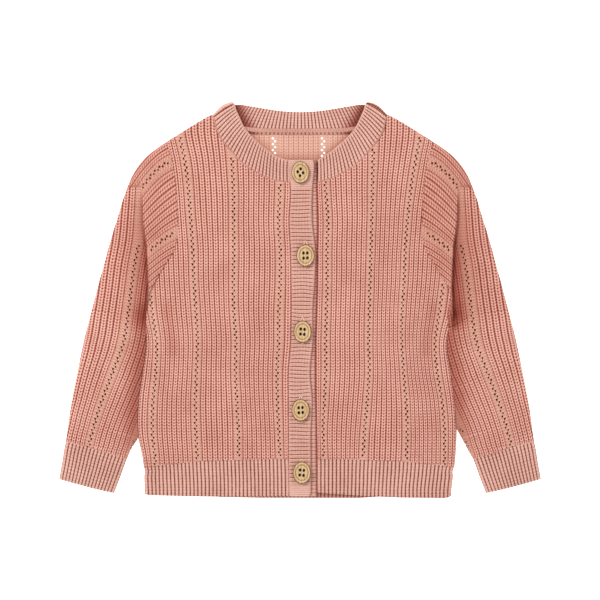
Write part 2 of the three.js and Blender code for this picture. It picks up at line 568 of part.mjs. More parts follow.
// One section of the neckband: its outer and inner faces, from the seam to the free edge.
function neckSection(all, seamPoint, freePoint, t, onRib) {
  const place = t * (all.length - 1);
  const i = Math.min(Math.floor(place), all.length - 2);
  const roll = THREE.MathUtils.lerp(all[i].roll, all[i + 1].roll, place - i);
  const across = freePoint.clone().sub(seamPoint).normalize();
  const out = new THREE.Vector3(-across.y, across.x, 0).normalize();
  const angle = THREE.MathUtils.degToRad(roll);
  const sideways = roll <= 180 ? Math.sin(angle) : -Math.sin(angle);
  const flip = roll <= 180 ? 1 : -1;
  const normal = new THREE.Vector3(0, 0, Math.cos(angle)).addScaledVector(out, flip * sideways).normalize();
  const groove = onRib ? 0 : FINE_RISE;
  const outerHalf = NECK_HALF_WALL - (groove * (1 + normal.z)) / 2;
  const innerHalf = NECK_HALF_WALL - (groove * (1 - normal.z)) / 2;
  const face = (half, shares) => shares.map((share) => {
    const soft = share === 1 ? 0.5 : 1;
    const point = seamPoint.clone().lerp(freePoint, share).addScaledVector(normal, half * soft);
    return point.setZ(Math.max(point.z, 0));
  });
  return { outer: face(outerHalf, [0.02, 0.93, 1]), inner: face(-innerHalf, [0.02, 1]) };
}

const PLACKET_BACK_STATIONS = 24;

// The upper button band, with its buttonholes closed round the buttons' threads.
function upperPlacket() {
  const [low, high] = [PLACKET[0].y, PLACKET.at(-1).y];
  const steps = 2 * Math.round((high - low) / PLACKET_PITCH);
  const sections = [];
  for (let k = 0; k <= steps; k += 1) {
    const y = THREE.MathUtils.lerp(low, high, k / steps);
    const [left, right] = [columnAt(PLACKET, "left", y), columnAt(PLACKET, "right", y)];
    const groove = k % 2 === 0 ? FINE_RISE : 0;
    const top = PLACKET_FLOOR + WALL + FINE_RISE - groove;
    const outer = [
      new THREE.Vector3(left, y, PLACKET_SEAM_FLOOR + WALL + 0.3),
      new THREE.Vector3(left + 4.5, y, top),
      new THREE.Vector3(right - 1.5, y, top),
      new THREE.Vector3(right, y, PLACKET_FLOOR + 0.9),
    ];
    const inner = [
      new THREE.Vector3(left, y, PLACKET_SEAM_FLOOR),
      new THREE.Vector3(UNDER_PLACKET_FREE - SEAM_GAP, y, PLACKET_FLOOR),
      new THREE.Vector3(right - 0.6, y, PLACKET_FLOOR),
    ];
    sections.push({ outer, inner });
  }
  return wallFrom(sections);
}

// The lower button band, which shows only as a strip beside the upper one.
function lowerPlacket() {
  const [low, high] = [FRONT_HEM_END, PLACKET.at(-1).y - 0.5];
  const sections = [];
  for (let k = 0; k <= PLACKET_BACK_STATIONS; k += 1) {
    const y = THREE.MathUtils.lerp(low, high, k / PLACKET_BACK_STATIONS);
    const right = columnAt(LEFT_FRONT, "placket", Math.min(y, LEFT_FRONT.at(-2).y));
    const [left, floor, top] = [UNDER_PLACKET_FREE, FRONT_FLOOR, UNDER_PLACKET_TOP];
    sections.push({
      outer: [new THREE.Vector3(left, y, top), new THREE.Vector3(right, y, top)],
      inner: [new THREE.Vector3(left, y, floor), new THREE.Vector3(right, y, floor)],
    });
  }
  return wallFrom(sections);
}

// One ring of a flattened tube. Its underside lies flat, and the cloth above it is ribbed and folded.
function tubeRing(row, side, ribs, rise) {
  const clearX = bodyEdgeX(side, row.innerY) + TUBE_BODY_GAP;
  const besideBody = row.innerY < ARMHOLE[0].y - 4 && row.innerY > -100;
  const innerX = besideBody ? -clearX : row.innerX;
  const plan = (s) => {
    const [a, b, c] = [(s * (s - 1)) / 2, 1 - s * s, (s * (s + 1)) / 2];
    const x = a * row.outerX + b * row.midX + c * innerX;
    const y = a * row.outerY + b * row.midY + c * row.innerY;
    return new THREE.Vector2(x, y);
  };
  const halfWidth = plan(-1).distanceTo(plan(1)) / 2;
  const arch = (s) => Math.sqrt(1 - Math.abs(s) ** 3);
  const point = (s, z) => {
    const { x, y } = plan(s);
    return new THREE.Vector3(side < 0 ? x : -x, y, z);
  };
  const topAt = (s) => {
    const { x, y } = plan(s);
    return TUBE_EDGE + (row.top - TUBE_EDGE + Math.max(foldAt(x, y), 3.4 - row.top)) * arch(s);
  };
  const outer = [];
  for (let k = 0; k <= 2 * ribs; k += 1) {
    const s = -1 + k / ribs;
    outer.push(point(s, topAt(s) - (k % 2 === 0 ? rise * arch(s) : 0)));
  }
  for (const s of [0.9, 0.45, 0, -0.45, -0.9]) outer.push(point(s, 0));
  const shrink = 1 - (WALL + 0.2) / halfWidth;
  const inner = [];
  for (let k = 0; k <= 8; k += 1) {
    const s = -1 + k / 4;
    const roof = Math.max(topAt(s * shrink) - WALL - rise - TUBE_EDGE, 0.3);
    inner.push(point(s * shrink, TUBE_EDGE + roof * arch(s)));
  }
  for (const s of [0.8, 0.4, 0, -0.4, -0.8]) inner.push(point(s * shrink, TUBE_FLOOR_WALL));
  return { outer, inner };
}

function sleeve(side) {
  const tube = solidOf(tubeFrom(SLEEVE.map((row) => tubeRing(row, side, SLEEVE_RIBS, RIB_RISE))));
  const keepClear = [...bodyOutline(side), new THREE.Vector2(0, 139), new THREE.Vector2(0, -140)];
  return geometryOf(tube.subtract(columnOver(mirrorAll(offsetOutline(keepClear, SEAM_GAP), side))));
}

function cuff(side) {
  const [first] = CUFF;
  const width = Math.hypot(first.outerX - first.innerX, first.outerY - first.innerY);
  const ribs = Math.round(width / CUFF_PITCH);
  return tubeFrom(CUFF.map((row) => tubeRing(row, side, ribs, FINE_RISE)));
}

// An oval wooden button with a raised rim, a dished middle and four thread holes.
function button({ turn }) {
  const radius = BUTTON_HEIGHT / 2;
  const profile = [
    [0, 0],
    [radius - 1.4, 0],
    [radius - 0.3, 0.7],
    [radius, 1.5],
    [radius - 0.6, 2.4],
    [radius - 1.4, BUTTON_THICK],
    [radius - 2.6, 2.0],
    [0, 1.8],
  ].map(([r, z]) => new THREE.Vector2(r, z));
  const disc = new THREE.LatheGeometry(profile, 16).rotateX(Math.PI / 2);
  let solid = solidOf(closedGeometry(pointsOf(disc), Array.from(disc.index.array)));
  for (const [sx, sy] of [[1, 1], [1, -1], [-1, 1], [-1, -1]]) {
    const hole = new THREE.CylinderGeometry(BUTTON_HOLE, BUTTON_HOLE, 8, 6).rotateX(Math.PI / 2);
    solid = solid.subtract(solidOf(hole.translate(sx * BUTTON_HOLE_X * 1.15, sy * BUTTON_HOLE_Y, 1)));
  }
  const oval = BUTTON_WIDTH / BUTTON_HEIGHT;
  return geometryOf(solid).rotateZ(THREE.MathUtils.degToRad(turn)).scale(oval, 1, 1);
}

function pointsOf(geometry) {
  const position = geometry.getAttribute("position");
  return Array.from({ length: position.count }, (_, i) => new THREE.Vector3().fromBufferAttribute(position, i));
}

const cardigan = new THREE.Group();

function add(name, geometry, material) {
  const mesh = new THREE.Mesh(geometry, material);
  mesh.name = name;
  cardigan.add(mesh);
  return mesh;
}

add("back_panel", back(), knit);
add("back_hem", backHem(), ribKnit);
for (const [side, word] of [[-1, "right"], [1, "left"]]) {
  add(`${word}_front`, front(side), knit);
  add(`${word}_front_hem`, frontHem(side), ribKnit);
  add(`${word}_sleeve`, sleeve(side), knit);
  add(`${word}_cuff`, cuff(side), ribKnit);
}
add("neckband", neckband(), ribKnit);
add("lower_button_band", lowerPlacket(), ribKnit);
add("upper_button_band", upperPlacket(), ribKnit);
BUTTONS.forEach((place, i) => {
  const mesh = add(`button_${i + 1}`, button(place), wood);
  mesh.position.set(place.x, place.y, PLACKET_FLOOR + WALL + FINE_RISE + SEAM_GAP);
});

export default cardigan;
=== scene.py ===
# %% [markdown]
# # A baby's cardigan in ribbed knit
#
# The real thing is a small cotton cardigan, knitted in thick upright ribs with zigzag lines of tiny holes
# between them. It is buttoned up and laid flat on its back, and the photograph looks straight down on it.
#
# Knitting is made of loops, so its ribs, its stitches and its holes are real relief, not a print. Each piece
# below is a closed wall of cloth: a fine sheet of points outside, a coarse one inside, and rims between.
# The outer points rise and fall with the stitches, worked out from where they are among ribs and courses.

# %% Load the frame
import math

import bpy
import numpy as np
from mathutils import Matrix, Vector, kdtree
from mathutils.geometry import tessellate_polygon


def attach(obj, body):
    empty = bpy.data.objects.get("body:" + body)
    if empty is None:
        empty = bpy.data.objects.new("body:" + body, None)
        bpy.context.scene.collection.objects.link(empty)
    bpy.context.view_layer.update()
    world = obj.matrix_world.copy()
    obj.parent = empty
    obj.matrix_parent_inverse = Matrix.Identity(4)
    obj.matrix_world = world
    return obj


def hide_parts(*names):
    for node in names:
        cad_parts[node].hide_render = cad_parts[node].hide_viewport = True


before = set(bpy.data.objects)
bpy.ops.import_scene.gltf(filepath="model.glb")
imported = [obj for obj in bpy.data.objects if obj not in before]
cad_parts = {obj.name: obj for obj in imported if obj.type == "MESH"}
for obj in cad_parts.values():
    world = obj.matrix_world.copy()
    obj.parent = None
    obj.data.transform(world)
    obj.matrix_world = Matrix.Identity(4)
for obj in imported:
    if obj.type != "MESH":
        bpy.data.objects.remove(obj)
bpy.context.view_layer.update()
MM = 0.001
HIDDEN_PITCH = 3.0  # the knit is only coarse on faces that a cut makes or that nobody sees
rng = np.random.default_rng(11)
print("solids to dress:", len(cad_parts))

# %% [markdown]
# ## Where the cloth lies
#
# The sizes are the solids' own, in millimetres. Side -1 is the half on the left of the picture, which
# is the wearer's right. A table gives, for a few heights, where each line of holes and each edge runs, and a
# smooth curve through its rows gives every height between.

# %% The tables of the two fronts
FRONT_COLUMNS = ("y", "placket", "eyelet3", "eyelet2", "eyelet1", "eyelet0", "side")
RIGHT_FRONT = np.array([
    (-142.5, -8.5, -15.0, -46.0, -76.5, -108.0, -116.5),
    (-120.0, -8.8, -15.0, -46.1, -76.9, -108.5, -117.8),
    (-97.5, -8.8, -15.9, -46.1, -78.0, -110.6, -121.9),
    (-75.0, -8.8, -17.0, -47.3, -78.4, -110.1, -121.5),
    (-52.5, -8.8, -17.2, -48.3, -77.5, -108.0, -118.5),
    (-30.0, -7.0, -16.2, -48.0, -76.9, -107.6, -116.0),
    (-7.5, -6.7, -15.9, -49.6, -78.0, -111.0, -120.5),
    (15.0, -6.8, -14.8, -49.9, -79.4, -112.5, -122.5),
    (37.5, -7.2, -14.8, -49.6, -80.3, -113.5, -123.5),
    (60.0, -8.2, -16.0, -49.7, -81.8, -114.5, -124.5),
    (82.5, -7.2, -15.2, -49.8, -83.5, -116.0, -126.0),
    (105.0, -8.5, -14.6, -50.8, -86.3, -118.5, -128.5),
    (127.5, -8.8, -14.4, -52.5, -91.0, -122.5, -132.5),
])
LEFT_FRONT = np.array([
    (-142.5, 13.2, 17.8, 47.0, 79.5, 107.6, 113.5),
    (-120.0, 13.1, 17.8, 47.3, 79.7, 108.2, 116.3),
    (-97.5, 12.8, 17.2, 48.2, 80.3, 108.2, 117.5),
    (-75.0, 12.4, 18.2, 50.3, 79.5, 106.5, 116.3),
    (-52.5, 12.2, 19.3, 51.8, 77.6, 102.6, 113.3),
    (-30.0, 12.2, 19.2, 51.5, 76.2, 101.2, 111.0),
    (-7.5, 12.8, 19.8, 51.9, 76.5, 104.5, 118.0),
    (15.0, 13.4, 20.3, 52.5, 78.0, 107.5, 120.5),
    (37.5, 13.5, 20.2, 53.3, 78.8, 109.5, 121.5),
    (60.0, 13.8, 20.8, 53.8, 80.4, 111.5, 121.5),
    (82.5, 13.2, 19.2, 54.2, 82.9, 114.0, 124.0),
    (105.0, 12.8, 17.8, 54.8, 86.6, 117.0, 127.0),
    (127.5, 12.8, 17.2, 55.1, 90.8, 121.0, 131.0),
])
FRONT_OF = {-1: RIGHT_FRONT, 1: LEFT_FRONT}
GUIDE_RIBS = (0, 2, 11, 19, 28, 31)  # how many ribs each guide line is from the button band
HOLE_RIBS = (2, 11, 19, 28)
FRONT_RIBS = 31


def smooth_column(table, column, at):
    """The value of a table's column at each height, on a smooth curve through its rows."""
    key = table[:, 0]
    at = np.clip(np.asarray(at, float), key[0], key[-1])
    i = np.clip(np.searchsorted(key, at), 1, len(key) - 1)
    t = (at - key[i - 1]) / (key[i] - key[i - 1])
    a, b, c, d = (table[np.clip(i + k, 0, len(key) - 1), column] for k in (-2, -1, 0, 1))
    return 0.5 * (2 * b + (c - a) * t + (2 * a - 5 * b + 4 * c - d) * t**2 + (3 * b - a - 3 * c + d) * t**3)


def front_edge(side, name, y):
    return smooth_column(FRONT_OF[side], FRONT_COLUMNS.index(name), y)


def rib_x(side, rib, y):
    """The x of a place among a front's ribs, at each height."""
    lines = np.stack([smooth_column(FRONT_OF[side], k + 1, y) for k in range(len(GUIDE_RIBS))])
    k = np.clip(np.searchsorted(GUIDE_RIBS, rib, side="right"), 1, len(GUIDE_RIBS) - 1)
    start, end = np.take(GUIDE_RIBS, k - 1), np.take(GUIDE_RIBS, k)
    share = (rib - start) / (end - start)
    before, after = (np.take_along_axis(lines, n[None], 0)[0] for n in (k - 1, k))
    return before * (1 - share) + after * share


two_ribs = rib_x(-1, np.array([4.0, 5.0]), np.zeros(2))
print("a rib is", round(float(two_ribs[0] - two_ribs[1]), 2), "mm wide")

# %% Outlines of the body
LAP, BAND_LAP = 0.12, 0.45  # how far neighbours overlap at a seam, so that no gap shows between them
ARMHOLE = [(-113.7, 3.8), (-111, 10.5), (-105, 21), (-99, 30.8), (-94, 38.5), (-91.6, 49.5), (-91.3, 61.5),
           (-92, 74), (-93, 86.5), (-94.6, 98.5), (-96.8, 108.5), (-99.8, 119.3)]
SHOULDER = [(-99.8, 119.3), (-83.3, 129.7), (-73.5, 135.7), (-66.6, 139.3)]
NECK_SEAM = [(-66.2, 139.5), (-64.4, 137.2), (-62.6, 129), (-58.5, 120.8), (-52.5, 113.6), (-45, 105),
             (-37, 99), (-26.3, 93), (-17.3, 90), (-9, 88.9), (0, 88.5)]
BACK_NECK_SEAM = [(-66.2, 139.5), (-64.2, 136.4), (-58.5, 130.5), (-46.5, 126.8), (-33, 125.6),
                  (-16.5, 125.3), (0, 125.3)]
HEM_LINE = np.array([(0, -118.3), (30, -118.5), (75, -120.0), (100, -122.5), (125, -126.0)])
TRUE_SIDE_FROM = -30.0
UNDERARM = (114.7, -7.5)


def unit(directions):
    return directions / np.maximum(np.linalg.norm(directions, axis=-1, keepdims=True), 1e-9)


def distances(points, power=1.0):
    """How far each point of a line is along it. A power below one evens out long and short steps."""
    return np.r_[0, np.cumsum(np.linalg.norm(np.diff(points, axis=0), axis=1) ** power)]


def places_at(at, along, rows):
    """The rows of a table or line at places along it, straight between its own."""
    return np.stack([np.interp(at, along, column) for column in rows.T], -1)


def smooth_rows(at, along, rows):
    """The rows of a table or line at places along it, on a smooth curve through its own."""
    table = np.c_[along, rows]
    return np.stack([smooth_column(table, k + 1, at) for k in range(rows.shape[1])], -1)


def smooth_path(points, count):
    """Points evenly along a smooth curve through a few given ones."""
    points = np.array(points, float)
    at = distances(points[:, :2], 0.5)
    curve = smooth_rows(np.linspace(0, at[-1], 20 * len(points)), at, points)
    along = distances(curve)
    return places_at(np.linspace(0, along[-1], count), along, curve)


def hem_y(x):
    return np.interp(np.abs(x), HEM_LINE[:, 0], HEM_LINE[:, 1])


def way_round(outline):
    """1 for an outline that runs anticlockwise and -1 for one that runs clockwise."""
    after = np.roll(outline, -1, 0)
    return np.sign(np.sum(outline[:, 0] * after[:, 1] - after[:, 0] * outline[:, 1]))


def offset(outline, distance):
    """A closed outline moved outwards by a distance, or inwards if that is below zero."""
    before, after = np.roll(outline, 1, 0), np.roll(outline, -1, 0)
    along = unit(unit(outline - before) + unit(after - outline))
    return outline + way_round(outline) * distance * np.stack([along[:, 1], -along[:, 0]], -1)


def hill(away, width):
    """A soft hill, 1 in its middle and about a third at its width."""
    return np.exp(-((away / width) ** 2))


def edge_share(away, width):
    """1 at an edge, falling to 0 at a width from it."""
    return np.clip(1 - away / width, 0, 1)


def side_lead(side):
    """How far the side of the body is from the middle, just below the underarm."""
    return min(UNDERARM[0], abs(float(front_edge(side, "side", TRUE_SIDE_FROM))) - 0.2)


armhole = smooth_path(ARMHOLE, 60)
shoulder = smooth_path(SHOULDER, 8)[1:]
neck_seam = smooth_path(NECK_SEAM, 60)
print("armhole points:", len(armhole))

# %% [markdown]
# ## A wall of cloth
#
# A knit has two faces and an edge. Blender's Solidify can thicken a sheet, but it would copy every fine point
# of the outside to the inside, where nobody looks. So the wall is built from two grids of points with
# different counts, and a strip of triangles joins their four edges. The result is one closed mesh.

# %% Build a closed wall and cut it
def zip_chains(a, b):
    """Triangles between two chains of point numbers, walking along both at an even pace."""
    steps_a, steps_b = len(a) - 1, len(b) - 1
    places_a, places_b = (np.arange(1, steps + 1) / max(steps, 1) for steps in (steps_a, steps_b))
    order = np.argsort(np.r_[places_a, places_b + 1e-9], kind="stable")
    on_a = np.r_[np.ones(steps_a, bool), np.zeros(steps_b, bool)][order]
    i, j = np.cumsum(on_a) - on_a, np.cumsum(~on_a) - ~on_a
    next_a, next_b = np.take(a, np.minimum(i + 1, steps_a)), np.take(b, np.minimum(j + 1, steps_b))
    return np.stack([np.take(a, i), np.where(on_a, next_a, next_b), np.take(b, j)], -1)


def grid_triangles(numbers, turned=False):
    """Two triangles for each cell of a grid of point numbers, which look the other way if turned."""
    a, b, c, d = numbers[:-1, :-1], numbers[:-1, 1:], numbers[1:, 1:], numbers[1:, :-1]
    halves = ((d, c, b), (d, b, a)) if turned else ((a, b, c), (a, c, d))
    return np.concatenate([np.stack(corners, -1).reshape(-1, 3) for corners in halves])


def number_loops(rows, around, start=0):
    """Point numbers of rows of closed loops, each with its first point once more at its end."""
    numbers = start + np.arange(rows * around).reshape(rows, around)
    return np.c_[numbers, numbers[:, :1]]


def make_mesh(name, points, triangles, maps):
    """A mesh object from points in millimetres, with a UV map for each entry of maps."""
    mesh = bpy.data.meshes.new(name)
    mesh.vertices.add(len(points))
    mesh.vertices.foreach_set("co", (points * MM).astype(np.float32).ravel())
    mesh.loops.add(triangles.size)
    mesh.loops.foreach_set("vertex_index", triangles.astype(np.int32).ravel())
    mesh.polygons.add(len(triangles))
    mesh.polygons.foreach_set("loop_start", (np.arange(len(triangles)) * 3).astype(np.int32))
    mesh.update(calc_edges=True)
    for title, uv in maps.items():
        layer = mesh.uv_layers.new(name=title)
        layer.data.foreach_set("uv", uv[triangles.ravel()].astype(np.float32).ravel())
    mesh.shade_smooth()
    piece = bpy.data.objects.new(name, mesh)
    bpy.context.collection.objects.link(piece)
    return piece


def outward(points, triangles):
    """The triangles, turned so that the closed mesh's faces look out."""
    a, b, c = (points[triangles[:, k]] for k in range(3))
    return triangles if np.einsum("ij,ij->i", a, np.cross(b, c)).sum() > 0 else triangles[:, ::-1]


def wall(name, outer, inner, outer_uv, inner_uv, outer_tone, inner_tone=0.55):
    """A closed wall between two grids of points. Tones say how open to the light it is, and how plain."""
    n = outer.shape[0] * outer.shape[1]
    o = np.arange(n).reshape(outer.shape[:2])
    i = n + np.arange(inner.shape[0] * inner.shape[1]).reshape(inner.shape[:2])
    rims = [zip_chains(i[0], o[0]), zip_chains(o[-1], i[-1])]
    rims += [zip_chains(o[:, 0], i[:, 0]), zip_chains(i[:, -1], o[:, -1])]
    triangles = np.concatenate([grid_triangles(o), grid_triangles(i, turned=True), *rims])
    points = np.concatenate([outer.reshape(-1, 3), inner.reshape(-1, 3)])
    uv = np.concatenate([outer_uv.reshape(-1, 2), inner_uv.reshape(-1, 2)])
    tone = np.zeros((len(points), 2))
    tone[:n] = np.stack(outer_tone, -1).reshape(-1, 2)
    tone[n:, 0] = inner_tone
    return make_mesh(name, points, outward(points, triangles), {"Knit": uv, "Tone": tone})


def tessellate(outline):
    """Triangles that fill an outline, all turned the same way."""
    found = np.array(tessellate_polygon([[Vector((x, y, 0)) for x, y in outline]]))
    a, b, c = (outline[found[:, k]] for k in range(3))
    turn = (b[:, 0] - a[:, 0]) * (c[:, 1] - a[:, 1]) - (b[:, 1] - a[:, 1]) * (c[:, 0] - a[:, 0])
    found[turn < 0] = found[turn < 0][:, ::-1]
    return found


def prisms(outlines, lows, highs, flare):
    """One mesh of upright prisms, to cut with. A flare makes them narrower below and wider above."""
    points, triangles, start = [], [], 0
    for outline, low, high in zip(outlines, lows, highs):
        n = len(outline)
        middle = outline.mean(0)
        for height, width in ((low, 1 - flare), (high, 1 + flare)):
            points.append(np.c_[middle + (outline - middle) * width, np.full(n, height)])
        cap = tessellate(outline) + start
        triangles += [grid_triangles(number_loops(2, n, start)), cap[:, ::-1], cap + n]
        start += 2 * n
    return np.concatenate(points), np.concatenate(triangles)


def cut(piece, outlines, operation, low=-20.0, high=40.0, tone=0.0, flare=0.0):
    """Cuts a closed piece with upright prisms between two heights, and keeps its UV maps. The tone is painted
    shade on the faces the cut makes.
    """
    outlines = [outline[:: int(way_round(outline))] for outline in outlines]
    lows, highs = (np.broadcast_to(height, len(outlines)) for height in (low, high))
    points, triangles = prisms(outlines, lows, highs, flare)
    maps = {"Knit": points[:, :2] / HIDDEN_PITCH, "Tone": np.tile([tone, 0.0], (len(points), 1))}
    knife = make_mesh("knife", points, triangles, maps)
    modifier = piece.modifiers.new("cut", "BOOLEAN")
    modifier.operation, modifier.object, modifier.solver = operation, knife, "MANIFOLD"
    result = bpy.data.meshes.new_from_object(piece.evaluated_get(bpy.context.evaluated_depsgraph_get()))
    piece.modifiers.clear()
    old, piece.data = piece.data, result
    result.name = piece.name
    bpy.data.meshes.remove(old)
    bpy.data.meshes.remove(knife.data)
    result.materials.clear()
    result.shade_smooth()
    return piece


def points_of(piece):
    """A piece's points, in millimetres."""
    flat = np.empty(len(piece.data.vertices) * 3)
    piece.data.vertices.foreach_get("co", flat)
    return flat.reshape(-1, 3) / MM


def height_at(piece, places, reach=0.9, spare=0.3):
    """Height of a piece's upper face at places of the plan, read from the points near each."""
    points = points_of(piece)
    away = [np.abs(points[:, :2] - place).max(1) for place in places]
    return np.array([points[a < max(reach, a.min() + spare), 2].max() for a in away])


print("wall tools ready")

# %% [markdown]
# ## The stitches
#
# Seen close, each rib of the panels is a column of V-shaped stitches: two slanting legs that meet in a faint
# middle line, with a deep groove on either side. The relief is a formula of the place across the rib and
# along its courses, so every stitch is the same size as its neighbours however the panel bends.

# %% Relief of the two knits
RIB_RISE = 0.9
FINE_RISE = 0.5
COURSE = 2.2  # one row of stitches
KNIT_FOOT, KNIT_TOP = -131, 143  # y where the panels' courses are counted from, and where the block ends
HOLE_COURSES = np.arange(2, 124)


def wobble(x, y, size, seed):
    """Slow random waves between about -1 and 1, the same each run."""
    waves = np.random.default_rng(seed)
    total = 0
    for _ in range(5):
        angle, phase, stretch = waves.uniform(0, 2 * np.pi, 2).tolist() + [waves.uniform(0.6, 1.6)]
        total = total + np.sin(2 * np.pi * stretch * (x * np.cos(angle) + y * np.sin(angle)) / size + phase)
    return total / 3.2


def rib_relief(u, v):
    """Height from 0 to 1 of the panels' knit. u counts ribs and v counts courses."""
    from_middle = np.abs(2 * (u - np.floor(u)) - 1)
    leg = 1 - np.abs(2 * from_middle - 1)
    notch = 0.5 + 0.5 * np.cos(2 * np.pi * (v - 0.5 * from_middle))
    floor = 0.5 * np.clip(1.25 - 1.6 * from_middle, 0, 1)
    return np.clip(floor + (1 - floor) * leg**0.7 * (1 - 0.3 * notch) - 0.2 * floor * notch, 0, 1)


def smooth_relief(u, v):
    """Height of the plain band round a line of holes, where u is 0 on the line and 1 at its grooves."""
    small = 0.5 + 0.5 * np.cos(2 * np.pi * (v - 0.5 * np.abs(((u * 2) % 1) * 2 - 1)))
    return 0.72 * (1 - np.clip(np.abs(u), 0, 1) ** 6) + 0.12 * small * (1 - np.abs(u) ** 4)


def fine_relief(u, v):
    """Height of the fine rib of the bands: flat tops with narrow grooves."""
    f = u - np.floor(u)
    top = np.clip(np.sin(np.pi * f), 0, 1) ** 0.4
    stitch = 0.5 + 0.5 * np.cos(2 * np.pi * (v - 0.4 * np.abs(2 * f - 1)))
    return top * (0.82 + 0.18 * stitch)


# Painted shade: the tone is darker where the relief is low, in the knit's grooves.
def painted_groove_shade(relief):
    return 0.8 + 0.2 * relief


def panel_relief(u, v, hole_ribs):
    """The two knits together: ribs, with a plain band of two ribs' width round each line of holes."""
    relief, plain = rib_relief(u, v), np.zeros(np.shape(u))
    for line in hole_ribs:
        near = np.abs(u - line) < 1
        relief = np.where(near, smooth_relief(u - line, v), relief)
        plain = np.where(near, 1.0, plain)
    return relief, plain


def hole_places(hole_ribs, zigzag=0.18):
    """Where the holes are, as ribs and courses: one each course, to the left and the right in turn."""
    u = np.concatenate([line + zigzag * np.where(HOLE_COURSES % 2 == 0, 1, -1) for line in hole_ribs])
    return u, np.tile(HOLE_COURSES.astype(float), len(hole_ribs))


print("a course of stitches is", COURSE, "mm")

# %% [markdown]
# ## The yarn
#
# The yarn is matt cotton in a dusty pink. Where stitches stand up it is pale, and deep between them the light
# has bounced from thread to thread, so the grooves look redder as well as darker. The material works out each
# stitch from the same ribs and courses as the relief does, which the Knit map keeps, and makes a shade of it.
# The Tone map holds painted light and shade: how open each place is to the light, darker in grooves, folds,
# creases, holes and beside other pieces. It also holds where the knit is plain. Waves stand for the twist of
# the plies, and a small noise for loose fibres.

# %% Tools for materials
def add_node(tree, kind, settings=(), inputs=()):
    node = tree.nodes.new(kind)
    for key, value in dict(settings).items():
        setattr(node, key, value)
    for key, value in dict(inputs).items():
        if isinstance(value, bpy.types.NodeSocket):
            tree.links.new(value, node.inputs[key])
        else:
            node.inputs[key].default_value = value
    return node


def calc(tree, operation, *values):
    return add_node(tree, "ShaderNodeMath", {"operation": operation}, dict(enumerate(values))).outputs[0]


def shader_tree(name, roughness):
    material = bpy.data.materials.new(name)
    material.use_nodes = True
    shader = material.node_tree.nodes["Principled BSDF"]
    shader.inputs["Roughness"].default_value = roughness
    return material, material.node_tree, shader


def ramp_of(tree, factor, stops):
    ramp = add_node(tree, "ShaderNodeValToRGB", inputs={"Fac": factor})
    elements = ramp.color_ramp.elements
    while len(elements) < len(stops):
        elements.new(0.5)
    for element, (place, colour) in zip(elements, stops):
        element.position, element.color = place, (*colour, 1)
    return ramp.outputs["Color"]


def blend(tree, factor, first, second, kind="MIX"):
    """A mix of two colours. Inputs 6 and 7 and output 2 are the node's colour sockets."""
    settings = {"data_type": "RGBA", "blend_type": kind}
    return add_node(tree, "ShaderNodeMix", settings, {0: factor, 6: first, 7: second}).outputs[2]


def between(tree, share, first, second):
    """A value that goes from the first to the second as the share goes from 0 to 1."""
    kept = calc(tree, "MULTIPLY", calc(tree, "SUBTRACT", 1.0, share), first)
    return calc(tree, "ADD", calc(tree, "MULTIPLY", share, second), kept)


# %% Yarn materials
YARN_ROUGHNESS, YARN_SHINE = 0.92, 0.02
THICK_SLANT, FINE_SLANT = 0.5, 0.4  # how far a stitch's legs slant, in courses
PLAIN_TINT = (0.70, 0.415, 0.300, 1)


def knit_places(tree):
    """Sockets for the rib count, the course count, and the two tones."""
    knit = add_node(tree, "ShaderNodeUVMap", {"uv_map": "Knit"}).outputs["UV"]
    tone = add_node(tree, "ShaderNodeUVMap", {"uv_map": "Tone"}).outputs["UV"]
    knit, tone = (add_node(tree, "ShaderNodeSeparateXYZ", inputs={0: x}).outputs for x in (knit, tone))
    return knit["X"], knit["Y"], tone["X"], tone["Y"]


def off_middle(tree, u):
    """How far a place is from its rib's middle, from 0 to 1. Used twice, it says how far off a leg it is."""
    return calc(tree, "ABSOLUTE", calc(tree, "MULTIPLY_ADD", u, 2.0, -1.0))


def stitch_wave(tree, from_middle, v, slant):
    """1 in the notch between two stitches and 0 on their backs."""
    phase = calc(tree, "MULTIPLY", calc(tree, "MULTIPLY_ADD", from_middle, -slant, v), 2 * math.pi)
    return calc(tree, "MULTIPLY_ADD", calc(tree, "COSINE", phase), 0.5, 0.5)


def thick_rib(tree, u, v):
    """Shade of the thick rib: two slanting legs, a notched line between them and a deep groove."""
    from_middle = off_middle(tree, calc(tree, "FRACT", u))
    off_leg = off_middle(tree, from_middle)
    wave = stitch_wave(tree, from_middle, v, THICK_SLANT)
    deep = calc(tree, "POWER", off_leg, 1.35)
    groove = calc(tree, "GREATER_THAN", from_middle, 0.5)
    middle_depth = calc(tree, "MULTIPLY_ADD", wave, 0.66, 0.20)
    more = calc(tree, "MULTIPLY", groove, calc(tree, "MULTIPLY_ADD", wave, -0.36, 0.56))
    depth = calc(tree, "MULTIPLY", deep, calc(tree, "ADD", middle_depth, more))
    return calc(tree, "SUBTRACT", calc(tree, "MULTIPLY_ADD", wave, -0.20, 1.06), depth)


def plain_band(tree, u, v):
    """Shade of the plain band beside the holes: small flat stitches."""
    from_middle = off_middle(tree, calc(tree, "FRACT", calc(tree, "MULTIPLY", u, 2.0)))
    off_leg = off_middle(tree, from_middle)
    stitch = calc(tree, "MULTIPLY_ADD", stitch_wave(tree, from_middle, v, THICK_SLANT), -0.46, 1.06)
    return calc(tree, "SUBTRACT", stitch, calc(tree, "MULTIPLY", off_leg, 0.20))


def fine_rib(tree, u, v, place):
    """Shade of the fine rib: flat tops, and narrow grooves that are dark in dashes."""
    from_middle = off_middle(tree, calc(tree, "FRACT", u))
    wave = stitch_wave(tree, from_middle, v, FINE_SLANT)
    dashes = calc(tree, "MULTIPLY_ADD", noise(tree, place, 420.0, 2.0), 1.3, 0.45)
    depth = calc(tree, "MULTIPLY", calc(tree, "POWER", from_middle, 4.0), dashes)
    return calc(tree, "SUBTRACT", calc(tree, "MULTIPLY_ADD", wave, -0.22, 1.0), depth)


